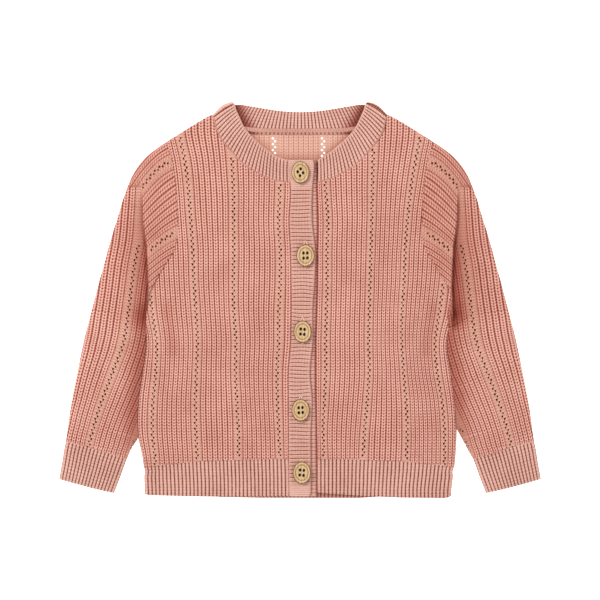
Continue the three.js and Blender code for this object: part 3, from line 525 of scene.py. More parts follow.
def noise(tree, place, scale, detail, **more):
    inputs = {"Vector": place, "Scale": scale, "Detail": detail, **more}
    return add_node(tree, "ShaderNodeTexNoise", inputs=inputs).outputs["Fac"]


def yarn(name, stops, thick=True):
    """Matt cotton yarn: stops are its shades from the bottom of a groove to the top of a stitch."""
    material, tree, shader = shader_tree(name, YARN_ROUGHNESS)
    u, v, tone, plain = knit_places(tree)
    place = add_node(tree, "ShaderNodeTexCoord").outputs["Object"]
    fibres = noise(tree, place, 1500.0, 4.0, Roughness=0.65)
    patches = noise(tree, place, 45.0, 2.0)
    if thick:
        ribbed, smooth = thick_rib(tree, u, v), plain_band(tree, u, v)
    else:
        ribbed = fine_rib(tree, u, v, place)
        rows = stitch_wave(tree, 0.0, calc(tree, "MULTIPLY", u, 2.0), 0.0)
        smooth = calc(tree, "MULTIPLY_ADD", rows, -0.34, 1.02)
    loose = calc(tree, "MULTIPLY_ADD", fibres, 0.8, -0.4)
    slow = calc(tree, "MULTIPLY_ADD", patches, 0.24, -0.12)
    uneven = calc(tree, "ADD", between(tree, plain, ribbed, smooth), calc(tree, "ADD", loose, slow))
    colour = ramp_of(tree, calc(tree, "MULTIPLY", uneven, tone), stops)
    if thick:
        tinted = calc(tree, "MULTIPLY", calc(tree, "MULTIPLY", plain, tone), 0.30)
        colour = blend(tree, tinted, colour, PLAIN_TINT)
    tree.links.new(colour, shader.inputs["Base Color"])
    twist = {"Vector": place, "Scale": 900.0, "Distortion": 2.0, "Detail": 2.0}
    plies = add_node(tree, "ShaderNodeTexWave", {"bands_direction": "DIAGONAL"}, twist).outputs["Fac"]
    below = {}
    for height, strength, distance in ((plies, 0.25, 0.0001), (fibres, 0.3, 0.0002)):
        inputs = {"Strength": strength, "Distance": distance, "Height": height, **below}
        below = {"Normal": add_node(tree, "ShaderNodeBump", inputs=inputs).outputs[0]}
    tree.links.new(below["Normal"], shader.inputs["Normal"])
    shader.inputs["Specular IOR Level"].default_value = YARN_SHINE
    return material


PANEL_YARN = yarn("panel yarn", [
    (0.0, (0.150, 0.022, 0.014)), (0.35, (0.36, 0.095, 0.068)),
    (0.7, (0.62, 0.285, 0.220)), (1.0, (0.88, 0.535, 0.445)),
])
BAND_YARN = yarn("band yarn", [
    (0.0, (0.120, 0.024, 0.015)), (0.35, (0.31, 0.094, 0.068)),
    (0.7, (0.59, 0.305, 0.240)), (1.0, (0.81, 0.505, 0.42)),
], thick=False)
INSIDE_YARN = yarn("inside yarn", [
    (0.0, (0.36, 0.120, 0.080)), (0.35, (0.54, 0.240, 0.175)),
    (0.7, (0.72, 0.410, 0.320)), (1.0, (0.84, 0.560, 0.460)),
])
print("yarns:", [m.name for m in bpy.data.materials][-3:])

# %% [markdown]
# ## How the layers lie
#
# The back lies on the table. The fronts lie on it, lift a little off it, climb onto the button band and turn
# down over its sides. A few soft folds, each a ridge or a trough along a line, come from the way the arms
# were laid down.

# %% Heights of the layers
BACK_TOP, WALL, FRONT_FLOOR = 2.0, 1.8, 2.3
PLACKET_SEAM_FLOOR, PLACKET_RISE_WIDTH, BODY_AIR = 3.5, 9.0, 1.3
SIDE_TURN, SIDE_END = 3.2, 0.4
FOLDS = [  # x and y of each fold's start and end, its width and its height, all for the right half
    (-118, -30, -130, -38, 4.0, -0.9),
    (-100, -4, -95, -38, 5.0, -1.0),
    (-108, -8, -106, -50, 4.0, 0.6),
]


def fold_lift(x, y):
    """How far the folds lift or lower the cloth at points of either side."""
    lift, x = 0.0, -np.abs(x)
    for x0, y0, x1, y1, width, height in FOLDS:
        dx, dy = x1 - x0, y1 - y0
        t = np.clip(((x - x0) * dx + (y - y0) * dy) / (dx * dx + dy * dy), 0, 1)
        away = np.hypot(x - x0 - t * dx, y - y0 - t * dy)
        lift = lift + height * hill(away, width)
    return lift


def front_floor(side, x, y):
    """Height of a front's inner face: its rise to the button band, and the air under it."""
    to_placket = np.abs(x - front_edge(side, "placket", y))
    climb = (PLACKET_SEAM_FLOOR - FRONT_FLOOR) * hill(to_placket, PLACKET_RISE_WIDTH) * (side < 0)
    # The air dies out towards the hem and the shoulder, and towards the band and the side.
    reach = np.clip(np.minimum((y + 118) / 35, (128 - y) / 60), 0, 1)
    across = np.sin(np.pi * np.clip((np.abs(x) - 10) / 108, 0, 1))
    uneven = 0.25 * wobble(x, y, 38, 5 + side)
    air = BODY_AIR * np.sqrt(reach) * across + (fold_lift(x, y) + uneven) * reach
    return FRONT_FLOOR + climb + np.maximum(air, 0)


def side_drop(side, x, y, height):
    """How far a front's outer face falls as it turns down round the side."""
    share = edge_share(np.abs(front_edge(side, "side", y) - x), SIDE_TURN)
    return (height - SIDE_END) * (1 - np.sqrt(1 - share**2))


def inner_front(side, y):
    """The coarse inside of a front, which turns down round the back's edge."""
    rib, rows = np.meshgrid(np.arange(0, 30, 1.5), y)
    x = rib_x(side, rib, rows)
    x[:, 0] -= side * BAND_LAP
    edge = front_edge(side, "side", y)
    near = edge - side * (SIDE_TURN + 0.2)
    keep = side * x < side * (near[:, None] - side * 0.5)
    x = np.where(keep, x, near[:, None] - side * 0.01 * (30 - rib))
    z = front_floor(side, x, rows)
    x = np.c_[x, near, edge - side * (SIDE_TURN - 1.2)]
    z = np.c_[z, front_floor(side, near, y), np.full(len(y), SIDE_END - 0.2)]
    return np.stack([x, np.repeat(y[:, None], x.shape[1], 1), z], -1)


print("the fronts start", FRONT_FLOOR, "mm above the table")

# %% [markdown]
# ## The two fronts
#
# Each front is knitted as a block of upright ribs and shaped at the armhole, shoulder and neck. Here the grid
# of stitches is made larger than the front and then cut along its outline, as a maker would cut a swatch.
# The lines of openwork are real holes, cut into the wall one by one. Each is a funnel, wide at the face and
# narrow inside, because light falls on its slanting walls; the walls also get painted shade, which shows them
# deep red, as thick yarn does.

# %% The fronts
COLUMNS_PER_RIB, ROWS_PER_COURSE = 6, 3
PANEL_PITCH = 3.65
FRONT_INNER_ROWS = 46
EYELET_EDGE = 1.6  # no hole is nearer than this to a piece's outline
EYELET_LEAN = 0.35
# The funnels' walls get painted shade.
EYELET_WALL_SHADE, EYELET_FLARE = 0.5, 0.93
FRONT_EYELET_REACH, SLEEVE_EYELET_REACH = 3.0, 4.0  # how far a funnel goes above and below the face


def front_outline(side):
    side_x = abs(float(front_edge(side, "side", TRUE_SIDE_FROM)))
    hem = [(-x, float(hem_y(x))) for x in (0, 30, 75, 100, 124)]
    side_line = [(-135, hem[-1][1]), (-135, TRUE_SIDE_FROM - 2)]
    side_line += [(-side_x - 0.1, TRUE_SIDE_FROM), (-side_lead(side), UNDERARM[1])]
    outline = np.concatenate([hem, side_line, armhole, shoulder, neck_seam])
    outline = offset(outline, LAP)
    return outline * (-side, 1)


def inside_by(points, outline, margin):
    """Which points are inside an outline and at least a margin away from it."""
    a, b = outline, np.roll(outline, -1, 0)
    p = points[:, None]
    crosses = (a[:, 1] > p[..., 1]) != (b[:, 1] > p[..., 1])
    slope = (b[:, 0] - a[:, 0]) / np.where(b[:, 1] == a[:, 1], 1e-9, b[:, 1] - a[:, 1])
    inside = (crosses & (p[..., 0] < a[:, 0] + slope * (p[..., 1] - a[:, 1]))).sum(1) % 2 == 1
    d = b - a
    t = np.clip(((p - a) * d).sum(-1) / np.maximum((d * d).sum(-1), 1e-9), 0, 1)
    return inside & (np.linalg.norm(p - a - t[..., None] * d, axis=-1).min(1) > margin)


def seam_dip(x, y, outline, depth=0.7, width=1.4):
    """How much cloth sinks beside an outline, where it is sewn to its neighbour."""
    points = np.stack([x, y], -1).reshape(-1, 2)
    away = np.full(len(points), np.inf)
    low, high = outline.min(0) - width, outline.max(0) + width
    close = np.flatnonzero(((points > low) & (points < high)).all(1))
    steps = [max(2, int(np.hypot(*(b - a)) / 0.6)) for a, b in zip(outline[:-1], outline[1:])]
    spots = np.concatenate([np.linspace(*ends) for ends in zip(outline[:-1], outline[1:], steps)])
    tree = kdtree.KDTree(len(spots))
    for k, (a, b) in enumerate(spots):
        tree.insert((a, b, 0), k)
    tree.balance()
    for k in close:
        away[k] = tree.find((*points[k], 0))[2]
    return (depth * edge_share(away, width) ** 2).reshape(np.shape(x))


def underarm_ease(y):
    """The seam hardly dips near the underarm, where the ribs of both pieces run together."""
    return 0.35 + 0.65 * np.clip((y - 25) / 20, 0, 1)


def hole_outlines(centres, slant, radius=(0.72, 0.97)):
    """Small eight-sided holes, each leaning to one side."""
    turn = np.arange(8) / 8 * 2 * np.pi
    ring = np.stack([radius[0] * np.cos(turn), radius[1] * np.sin(turn)], -1)
    made = []
    for (x, y), lean in zip(centres, slant):
        c, s = math.cos(lean), math.sin(lean)
        size = rng.uniform(0.86, 1.14)
        made.append(ring @ np.array([[c, s], [-s, c]]) * size + (x, y))
    return made


def pierce(piece, centres, lean, reach):
    """Cuts a funnel at each centre, from above the piece's face to below it."""
    top = height_at(piece, centres)
    funnel = {"low": top - reach, "high": top + reach, "tone": EYELET_WALL_SHADE, "flare": EYELET_FLARE}
    cut(piece, hole_outlines(centres, lean), "DIFFERENCE", **funnel)


def front(side, name):
    """One front: a block of ribs, cut along its outline, with its holes."""
    rib = np.arange(FRONT_RIBS * COLUMNS_PER_RIB + 1) / COLUMNS_PER_RIB
    y = np.arange(KNIT_FOOT, KNIT_TOP, COURSE / ROWS_PER_COURSE)
    u, rows = np.meshgrid(rib, y)
    v = (rows - KNIT_FOOT) / COURSE + 0.12 * wobble(u * 3.6, rows, 60, 21)
    sway = 0.18 * wobble(u * 3.6, rows, 45, 31 + side)
    x = rib_x(side, u, rows) + sway * np.sin(np.pi * u / FRONT_RIBS)
    x[:, 0] -= side * BAND_LAP
    relief, plain = panel_relief(u, v, HOLE_RIBS)
    seams = np.concatenate([armhole, shoulder, neck_seam]) * (-side, 1)
    dip = seam_dip(x, rows, seams) * underarm_ease(rows)
    height = front_floor(side, x, rows) + WALL + RIB_RISE * relief - dip
    outer = np.stack([x, rows, height - side_drop(side, x, rows, height)], -1)
    inner = inner_front(side, np.linspace(y[0], y[-1], FRONT_INNER_ROWS))
    # Painted shade in the grooves and in the folds' troughs, and painted light on their ridges.
    shade = painted_groove_shade(relief) * (1 + 0.13 * fold_lift(x, rows))
    piece = wall(name, outer, inner, np.stack([u, v], -1), inner[..., :2] / PANEL_PITCH, (shade, plain))
    outline = front_outline(side)
    # The cut edges get painted shade.
    cut(piece, [outline], "INTERSECT", tone=0.8)
    hole_u, hole_v = hole_places(HOLE_RIBS)
    centre_y = hole_v * COURSE + KNIT_FOOT
    centres = np.stack([rib_x(side, hole_u, centre_y), centre_y], -1)
    keep = inside_by(centres, outline, EYELET_EDGE)
    lean = np.where(hole_v % 2 == 0, EYELET_LEAN, -EYELET_LEAN)
    pierce(piece, centres[keep], lean[keep], FRONT_EYELET_REACH)
    piece.data.materials.append(PANEL_YARN)
    print(name, len(piece.data.polygons), "faces,", int(keep.sum()), "holes")
    return piece


right_front = front(-1, "right_front_knit")
left_front = front(1, "left_front_knit")

# %% [markdown]
# ## The back
#
# Only the part inside the neck shows, and there the white table shines through two lines of holes. The top
# face therefore has fine rows near the neck only, and the underside, which lies flat, has shallow ribs. Under
# the fronts the holes are cut from below and stop short, since nothing is seen through both layers there.

# %% The back
BACK_PITCH = 3.68
BACK_LINE = -19.5  # x of the line of holes that ribs are counted from
BACK_HOLE_RIBS = (-25, -16, -8, 0, 10, 18, 27, 35)
BACK_INSET = SIDE_TURN + 0.6
BACK_HALF_WIDTH = 118.0
NECK_SHADOW = np.array([  # x and y of the edge of the neckband in front, which shades the back beyond it
    (0, 105.4), (6.9, 105.4), (16.5, 108), (24, 112.9), (30.8, 118.5), (36.4, 123.8), (41.3, 129.8),
])
CLEAR_HOLES = {"radius": (1.0, 0.98)}
BLIND_HOLES, BLIND_END = {"radius": (0.7, 0.8)}, 1.3


def side_inset(side, y):
    """x of the back's edge, which ends inside the front that turns down over it."""
    return front_edge(side, "side", y) - side * BACK_INSET


def back_outline():
    halves = []
    for side in (-1, 1):
        y = np.array([-119, -97, -75, -52, TRUE_SIDE_FROM])
        edge = np.stack([-np.abs(side_inset(side, y)), y], -1)
        edge[0, 1] = hem_y(edge[0, 0])
        lead = np.array([[-UNDERARM[0] + BACK_INSET, UNDERARM[1]]])
        half = np.concatenate([edge, lead, armhole, shoulder, smooth_path(BACK_NECK_SEAM, 30)])
        halves.append(half if side < 0 else half[:-1] * (-1, 1))
    hem = np.array([(x, hem_y(x)) for x in (75, 30, -30, -75)])
    return offset(np.concatenate([halves[0], halves[1][::-1], hem]), LAP)


def back_face(x, y, sign):
    """Relief of the back's upper or lower face, as points, places and tones."""
    columns, rows = np.meshgrid(x, y)
    u, v = (columns - BACK_LINE) / BACK_PITCH, (rows - KNIT_FOOT) / COURSE
    relief, plain = panel_relief(u, v, BACK_HOLE_RIBS)
    z = BACK_TOP - 0.5 * (1 - relief) if sign > 0 else 0.3 * (1 - relief)
    from_band = rows - np.interp(np.abs(columns), *NECK_SHADOW.T)
    plain = np.where(plain > 0.5, plain, 0.3)
    # Painted shade: the neckband's shadow on the back beyond its edge, a dark line along the seam under the
    # chain, and a little all over.
    shadow = 0.06 + 0.34 * hill(np.maximum(from_band, 0), 5) + 0.25 * hill(rows - 125.4, 1.3)
    return np.stack([columns, rows, z], -1), np.stack([u, v], -1), painted_groove_shade(relief) * (1 - shadow), plain


def make_back():
    """The back, with fine rows near the neck, and its holes clear there and blind elsewhere."""
    top_rows = np.r_[np.arange(KNIT_FOOT, 96, 9), np.arange(98, KNIT_TOP, COURSE / 3)]
    under_rows = np.r_[np.arange(KNIT_FOOT, 142, COURSE), top_rows[-1]]
    top_x, under_x = (np.arange(-BACK_HALF_WIDTH, BACK_HALF_WIDTH + 0.1, BACK_PITCH / n) for n in (4, 2))
    outer, outer_uv, light, plain = back_face(top_x, top_rows, 1)
    inner, inner_uv, _, _ = back_face(under_x, under_rows, -1)
    piece = wall("back_knit", outer, inner, outer_uv, inner_uv, (light, plain), 0.9)
    outline = back_outline()
    cut(piece, [outline], "INTERSECT", tone=0.9)
    hole_u, hole_v = hole_places(BACK_HOLE_RIBS, 0.22)
    centres = np.stack([BACK_LINE + hole_u * BACK_PITCH, hole_v * COURSE + KNIT_FOOT], -1)
    centres = centres[inside_by(centres, outline, EYELET_EDGE)]
    at_neck = (np.abs(centres[:, 0]) < 25) & (centres[:, 1] > 98)
    # The holes' walls get tone 0, the darkest painted shade.
    for chosen, size, end in ((at_neck, CLEAR_HOLES, {}), (~at_neck, BLIND_HOLES, {"high": BLIND_END})):
        cut(piece, hole_outlines(centres[chosen], np.zeros(chosen.sum()), **size), "DIFFERENCE", **end)
    piece.data.materials.append(INSIDE_YARN)
    return piece


back = make_back()
print("back", len(back.data.polygons), "faces")

# %% [markdown]
# ## The hems
#
# The hem is knitted on in a finer rib, pulled in a little, so it is narrower than the panels. It is made with
# the same wall as the fronts, with more ribs and a rounded lower edge.

# %% The hems
HEM_PITCH = 2.84
FRONT_HEM_ENDS = {  # x and y of the lower edge of each front hem
    -1: np.array([
        (-118, -143.6), (-116.2, -144.9), (-113, -145.6), (-75, -146.5), (-50, -146.8), (-12, -146.3),
    ]),
    1: np.array([
        (12, -143.4), (16, -144.2), (38, -145.4), (56, -146.6),
        (75, -147.4), (108, -147.8), (111.5, -147.2), (114, -145.6),
    ]),
}
FRONT_HEM_END = -146.6
BACK_HEM_ENDS = np.array([
    (-110, -142.5), (-75, -145.0), (-60, -147.0), (-30, -147.6),
    (45, -147.7), (62, -146.6), (75, -145.5), (110, -142.5),
])
FINE_COLUMNS, FRONT_HEM_ROWS, BACK_HEM_ROWS = 5, 40, 22


def hem_rows(x, end, count):
    share = np.linspace(0, 1, count)[:, None]
    return (hem_y(x) + LAP)[None] * (1 - share) + end * share


def hem_sides(side, y):
    """x of both ends of a front hem, at each height."""
    return front_edge(side, "placket", y) - side * BAND_LAP, front_edge(side, "side", y)


def front_hem(side, name):
    """One front hem, whose ribs run from the panel to its rounded lower edge."""
    near, far = hem_sides(side, -130)[0], hem_sides(side, -142.5)[1]
    ribs = round(abs(far - near) / HEM_PITCH)
    rib = np.arange(ribs * FINE_COLUMNS + 1) / FINE_COLUMNS
    base_x = near + (far - near) * rib / ribs
    rows = hem_rows(base_x, np.interp(base_x, *FRONT_HEM_ENDS[side].T), FRONT_HEM_ROWS)
    u = np.broadcast_to(rib, rows.shape)
    near_rows, far_rows = hem_sides(side, rows)
    x = near_rows + (far_rows - near_rows) * u / ribs + 0.12 * wobble(u * 3, rows, 30, 41 + side)
    x[:, 0], x[:, -1] = near_rows[:, 0], far_rows[:, -1]
    # Its outermost rib is pulled in a little just below the panel.
    x = x - side * hill(rows + 127.5, 3) * (u / ribs) ** 14
    v = (rows - FRONT_HEM_END) / COURSE
    relief = fine_relief(u, v) ** 1.5
    height = front_floor(side, x, rows) + WALL - 0.2 + 0.7 * relief
    height = height - side_drop(side, x, rows, height) - edge_share(rows - rows[-1], 1.6) ** 2
    outer = np.stack([x, rows, height], -1)
    inner = inner_front(side, np.linspace(-118.6, FRONT_HEM_END, 8))
    down = np.linspace(0, 1, 8)[:, None]
    end = np.interp(inner[..., 0], *FRONT_HEM_ENDS[side].T)
    inner[..., 1] = (hem_y(inner[..., 0]) + LAP) * (1 - down) + end * down
    inner_uv = inner[..., :2] / HIDDEN_PITCH
    piece = wall(name, outer, inner, np.stack([u, v], -1), inner_uv, (painted_groove_shade(relief), 0 * relief))
    piece.data.materials.append(BAND_YARN)
    print(name, ribs, "ribs,", len(piece.data.polygons), "faces")
    return piece


def back_hem():
    """The back hem, of which a thin strip shows below the front ones."""
    near, far = side_inset(-1, FRONT_HEM_END), side_inset(1, FRONT_HEM_END)
    ribs = round((far - near) / HEM_PITCH)
    rib = np.arange(ribs * 4 + 1) / 4
    base_x = near + (far - near) * rib / ribs
    rows = hem_rows(base_x, np.interp(base_x, *BACK_HEM_ENDS.T), BACK_HEM_ROWS)
    x, u = (np.broadcast_to(values, rows.shape) for values in (base_x, rib))
    uv = np.stack([u, (rows - FRONT_HEM_END) / COURSE], -1)
    relief = fine_relief(uv[..., 0], uv[..., 1])
    top = BACK_TOP - 0.5 * (1 - relief) - 0.5 * edge_share(rows - rows[-1], 1.2) ** 2
    outer = np.stack([x, rows, top], -1)
    under = outer[::3, ::2].copy()
    under[..., 2] = 0.25 * (1 - relief[::3, ::2])
    # Painted shade: the strip lies in the shade of the front hems, so its tone is lowered.
    shade = painted_groove_shade(relief) - 0.25
    piece = wall("back_hem_rib", outer, under, uv, uv[::3, ::2], (shade, 0 * relief), 0.9)
    piece.data.materials.append(BAND_YARN)
    print("back hem", len(piece.data.polygons), "faces")
    return piece


right_front_hem = front_hem(-1, "right_front_hem_rib")
left_front_hem = front_hem(1, "left_front_hem_rib")
back_hem_piece = back_hem()

# %% [markdown]
# ## The sleeves
#
# A sleeve is a tube, pressed flat. Where it was folded down its cap stands up in a ridge, with its ribs at a
# slant, and beyond the ridge the rest of the sleeve lies lower and its ribs run steeply to the cuff. So the
# ribs are counted in two ways: in the cap from lines fitted one by one, and below it from the line of holes
# that follows the sleeve. The body's outline then trims the tube at the armhole.

# %% Rings of the sleeve
SLEEVE = np.array([  # x and y of each ring's outer edge, middle and inner edge, and the height of its top
    (-96.0, 121.6, -82.0, 103.5, -68.0, 85.0, 5.8),
    (-106.5, 115.0, -90.0, 94.0, -74.0, 70.0, 6.2),
    (-117.0, 106.3, -100.5, 83.5, -80.0, 54.0, 6.5),
    (-125.2, 95.0, -106.0, 66.0, -80.0, 35.0, 6.7),
    (-132.0, 78.5, -110.5, 52.5, -84.0, 24.0, 6.8),
    (-136.5, 63.5, -114.0, 39.5, -88.0, 13.0, 6.8),
    (-140.8, 50.0, -117.5, 28.0, -92.0, 3.5, 6.8),
    (-144.6, 36.5, -121.5, 16.5, -97.0, -5.0, 6.8),
    (-147.8, 24.5, -125.8, 5.5, -104.0, -12.5, 6.9),
    (-151.6, 11.0, -130.6, -6.5, -111.5, -21.0, 7.0),
    (-154.8, -1.5, -134.5, -21.0, -115.5, -33.0, 7.0),
    (-161.2, -26.3, -142.3, -44.5, -119.0, -57.0, 7.0),
    (-166.9, -53.3, -147.3, -69.0, -122.0, -80.0, 6.8),
    (-171.8, -78.8, -150.6, -91.8, -123.2, -99.5, 6.5),
    (-175.5, -105.3, -152.5, -111.8, -129.8, -118.6, 6.0),
])
SLEEVE_FREE_END = {  # y and x of the inner edge, where it leaves the body and runs to the cuff
    -1: [(-118.6, -129.8), (-111.8, -126.9), (-102.0, -120.8), (-98.0, -115.0)],
    1: [(-118.6, -129.8), (-111.8, -125.8), (-96.5, -117.8), (-93.0, -113.0)],
}
SLEEVE_RINGS, SLEEVE_COLUMNS, SLEEVE_INNER_ROWS = 410, 124, 60
SLEEVE_SPARE, UNDER_SIDE = 3.0, 0.3  # how far a sleeve reaches under the side of the body, uncut and cut
TUBE_EDGE, TUBE_FLOOR = 2.4, 1.9  # heights of a tube's outermost points and of the floor of its hollow
TUBE_UNDER = np.array([  # places across the underside, from the inner edge to the outer, and their heights
    (0.97, 0.9), (0.9, 0.25), (0.75, 0), (0.5, 0), (0.25, 0), (0, 0),
    (-0.25, 0), (-0.5, 0), (-0.75, 0), (-0.9, 0.25), (-0.97, 0.9),
])


def body_edge(side, y):
    """How far the side of the body is from the middle, below the underarm."""
    lead = side_lead(side)
    below = np.abs(front_edge(side, "side", y))
    above = np.interp(y, [UNDERARM[1], ARMHOLE[0][1]], [lead, -ARMHOLE[0][0]])
    return np.where(y < TRUE_SIDE_FROM, below, np.where(y < UNDERARM[1], lead, above))


def ring_table(table, count):
    """A table of rings, drawn finely: smooth curves through its rows, evenly along its middle."""
    along = distances(table[:, 2:4])
    return smooth_rows(np.linspace(0, along[-1], count), along, table)


def ring_plan(rings, s):
    """Points across the rings, s from -1 at the outer edge to 1 at the inner one."""
    parts = s * (s - 1) / 2, 1 - s**2, s * (s + 1) / 2

    def place(k):
        return sum(part * rings[:, k + 2 * n, None] for n, part in enumerate(parts))

    return np.stack([place(0), place(1)], -1)


def ring_top(rings, s):
    """Height of the cloth across the rings, and how much of a fold or rib fits there."""
    arch = np.sqrt(1 - np.clip(np.abs(s), 0, 1) ** 3)
    return TUBE_EDGE + (rings[:, 6, None] - TUBE_EDGE) * arch, arch


def tube(name, side, rings, pattern, rise, columns, inner_rows):
    """A flattened tube, closed, whose ribs, folds and tones come from a pattern of the plan. The tones are
    painted light and shade.
    """
    fine, share = np.linspace(-1, 1, 81), np.linspace(0, 1, columns + 1)
    arcs = [distances(row) for row in ring_plan(rings, np.broadcast_to(fine, (len(rings), len(fine))))]
    s = np.stack([np.interp(share * arc[-1], arc, fine) for arc in arcs])
    plan = ring_plan(rings, s)
    top, arch = ring_top(rings, s)
    u, v, relief, plain, lift, painted_light = pattern(plan[..., 0], plan[..., 1], share)
    upper = np.dstack([plan, top + (lift - rise * (1 - relief)) * arch])
    under_s, under_z = (np.broadcast_to(values, (len(rings), len(values))) for values in TUBE_UNDER.T)
    under_plan = ring_plan(rings, under_s)
    under = pattern(under_plan[..., 0], under_plan[..., 1], (under_s + 1) / 2)
    under_u, under_v, _, under_plain = under[:4]
    whole = np.concatenate([upper, np.dstack([under_plan, under_z])], 1)
    knit = np.concatenate([np.dstack([u, v]), np.dstack([under_u, under_v])], 1)
    under_open = np.full(under_s.shape, 0.9)
    tone = np.concatenate([np.dstack([painted_light, plain]), np.dstack([under_open, under_plain])], 1)
    # The hollow has fewer rings, and its roof and floor leave the thickness of the cloth all round.
    coarse = rings[np.unique(np.linspace(0, len(rings) - 1, inner_rows).astype(int))]
    half_width = np.hypot(coarse[:, 0] - coarse[:, 4], coarse[:, 1] - coarse[:, 5])[:, None] / 2
    shrink = 1 - (WALL + 0.2) / half_width
    roof_s, floor_s = np.linspace(-1, 1, 13), np.array([0.8, 0.4, 0, -0.4, -0.8])
    roof_rise = np.maximum(coarse[:, 6:7] - WALL - rise - TUBE_EDGE - 1.0, 0.3)
    roof_z = TUBE_EDGE + roof_rise * np.sqrt(1 - roof_s**4)
    floor_z = np.full((len(coarse), len(floor_s)), TUBE_FLOOR)
    sheets = ((roof_s, roof_z), (floor_s, floor_z))
    hollow = np.concatenate([np.dstack([ring_plan(coarse, places * shrink), z]) for places, z in sheets], 1)
    loops = number_loops(*whole.shape[:2])
    hollow_loops = number_loops(*hollow.shape[:2], whole.shape[0] * whole.shape[1])
    triangles = np.concatenate([
        grid_triangles(loops), grid_triangles(hollow_loops, turned=True),
        zip_chains(hollow_loops[0], loops[0]), zip_chains(loops[-1], hollow_loops[-1]),
    ])
    hollow = hollow.reshape(-1, 3)
    points = np.concatenate([whole.reshape(-1, 3), hollow]) * (-side, 1, 1)
    uv = np.concatenate([knit.reshape(-1, 2), hollow[:, :2] / HIDDEN_PITCH])
    tones = np.concatenate([tone.reshape(-1, 2), np.tile([0.5, 0.0], (len(hollow), 1))])
    return make_mesh(name, points, outward(points, triangles), {"Knit": uv, "Tone": tones})


# %% Ribs of the sleeve
SLEEVE_LINE = np.array([  # y and x of the line of holes, and the widths of the ribs outside and inside it
    (-116.0, -160.3, 3.5, 3.65), (-108.8, -158.2, 3.5, 3.7), (-93.0, -154.1, 3.65, 3.85),
    (-74.2, -148.1, 3.95, 4.2), (-55.5, -141.0, 4.5, 4.35), (-33.0, -132.6, 5.05, 3.95),
    (-10.5, -128.8, 5.0, 3.9), (8.2, -126.4, 4.85, 3.85), (27.0, -123.9, 4.9, 4.0),
    (45.8, -120.5, 4.95, 4.2), (64.5, -119.3, 4.75, 4.5), (84.5, -118.5, 4.5, 4.6),
])
CAP_X, CAP_DEPTH = -99.75, 18.75  # x where the cap's ribs are counted, and how far beyond it they end
CAP_LINES = np.array([  # rib, its height at CAP_X, and how its line falls and bends from there
    (-4, 124.4, 0.50, 0.020), (-2, 113.9, 0.51, 0.020), (0, 103.4, 0.51, 0.026), (1, 95.9, 0.62, 0.021),
    (2, 89.3, 0.75, 0.016), (3, 82.1, 0.79, 0.011), (4, 75.4, 0.80, 0.008), (5, 69.0, 0.80, 0.007),
    (6, 62.9, 0.76, 0.008), (7, 57.5, 0.70, 0.010), (8, 52.5, 0.64, 0.011), (9, 47.6, 0.62, 0.011),
    (10, 42.2, 0.62, 0.011), (12, 33.2, 0.62, 0.011), (14, 24.2, 0.62, 0.011), (20, -2.3, 0.62, 0.011),
])
CREASE = np.array([  # y and x of the fold between the cap and the rest
    (-7.5, -114.6), (-3.0, -114.4), (10.5, -113.9), (24.5, -114.3),
    (40.6, -115.0), (57.4, -117.5), (85.5, -118.8),
])
CREASE_FOOT, CREASE_TOP = CREASE[0, 0], CREASE[-1, 0]
CREASE_SHADOW = {-1: 0.52, 1: 0.78}  # how dark it is just below the fold of each sleeve
SLEEVE_HOLE_RIBS = (0, 9)
SLEEVE_ZIGZAG, SLEEVE_LEAN = 0.66, -0.3
line_y = np.linspace(SLEEVE_LINE[0, 0], SLEEVE_LINE[-1, 0], 600)
line_x = smooth_column(SLEEVE_LINE, 1, line_y)
line_slope = np.gradient(line_x, line_y)
line_length = distances(np.stack([line_x, line_y], -1))


def lower_ribs(x, y):
    """Ribs and courses below the cap, counted across and along the line of holes."""
    away, foot = x - np.interp(y, line_y, line_x), y
    for _ in range(3):
        slope = np.interp(foot, line_y, line_slope)
        foot = y + away * slope / (1 + slope**2)
    outside, inside = (np.interp(y, SLEEVE_LINE[:, 0], SLEEVE_LINE[:, k]) for k in (2, 3))
    beyond = np.minimum(foot - line_y[0], 0) + np.maximum(foot - line_y[-1], 0)
    courses = (np.interp(foot, line_y, line_length) + beyond) / COURSE
    return away / np.where(away < 0, outside, inside), courses


def cap_ribs(x, y):
    """Ribs and courses in the cap. A rib is tried, compared with where its line runs, and tried again."""
    run = CAP_X - x
    rib = np.full(np.shape(x), 5.0)
    for _ in range(6):
        fall, bend = (np.interp(rib, CAP_LINES[:, 0], CAP_LINES[:, k]) for k in (2, 3))
        start = y + run * fall + run**2 * bend
        rib = 0.4 * rib + 0.6 * np.interp(-start, -CAP_LINES[:, 1], CAP_LINES[:, 0])
    steep = np.hypot(1, fall + bend * (run + CAP_DEPTH))
    return rib, (line_length[-1] + (CAP_DEPTH - run) * steep) / COURSE


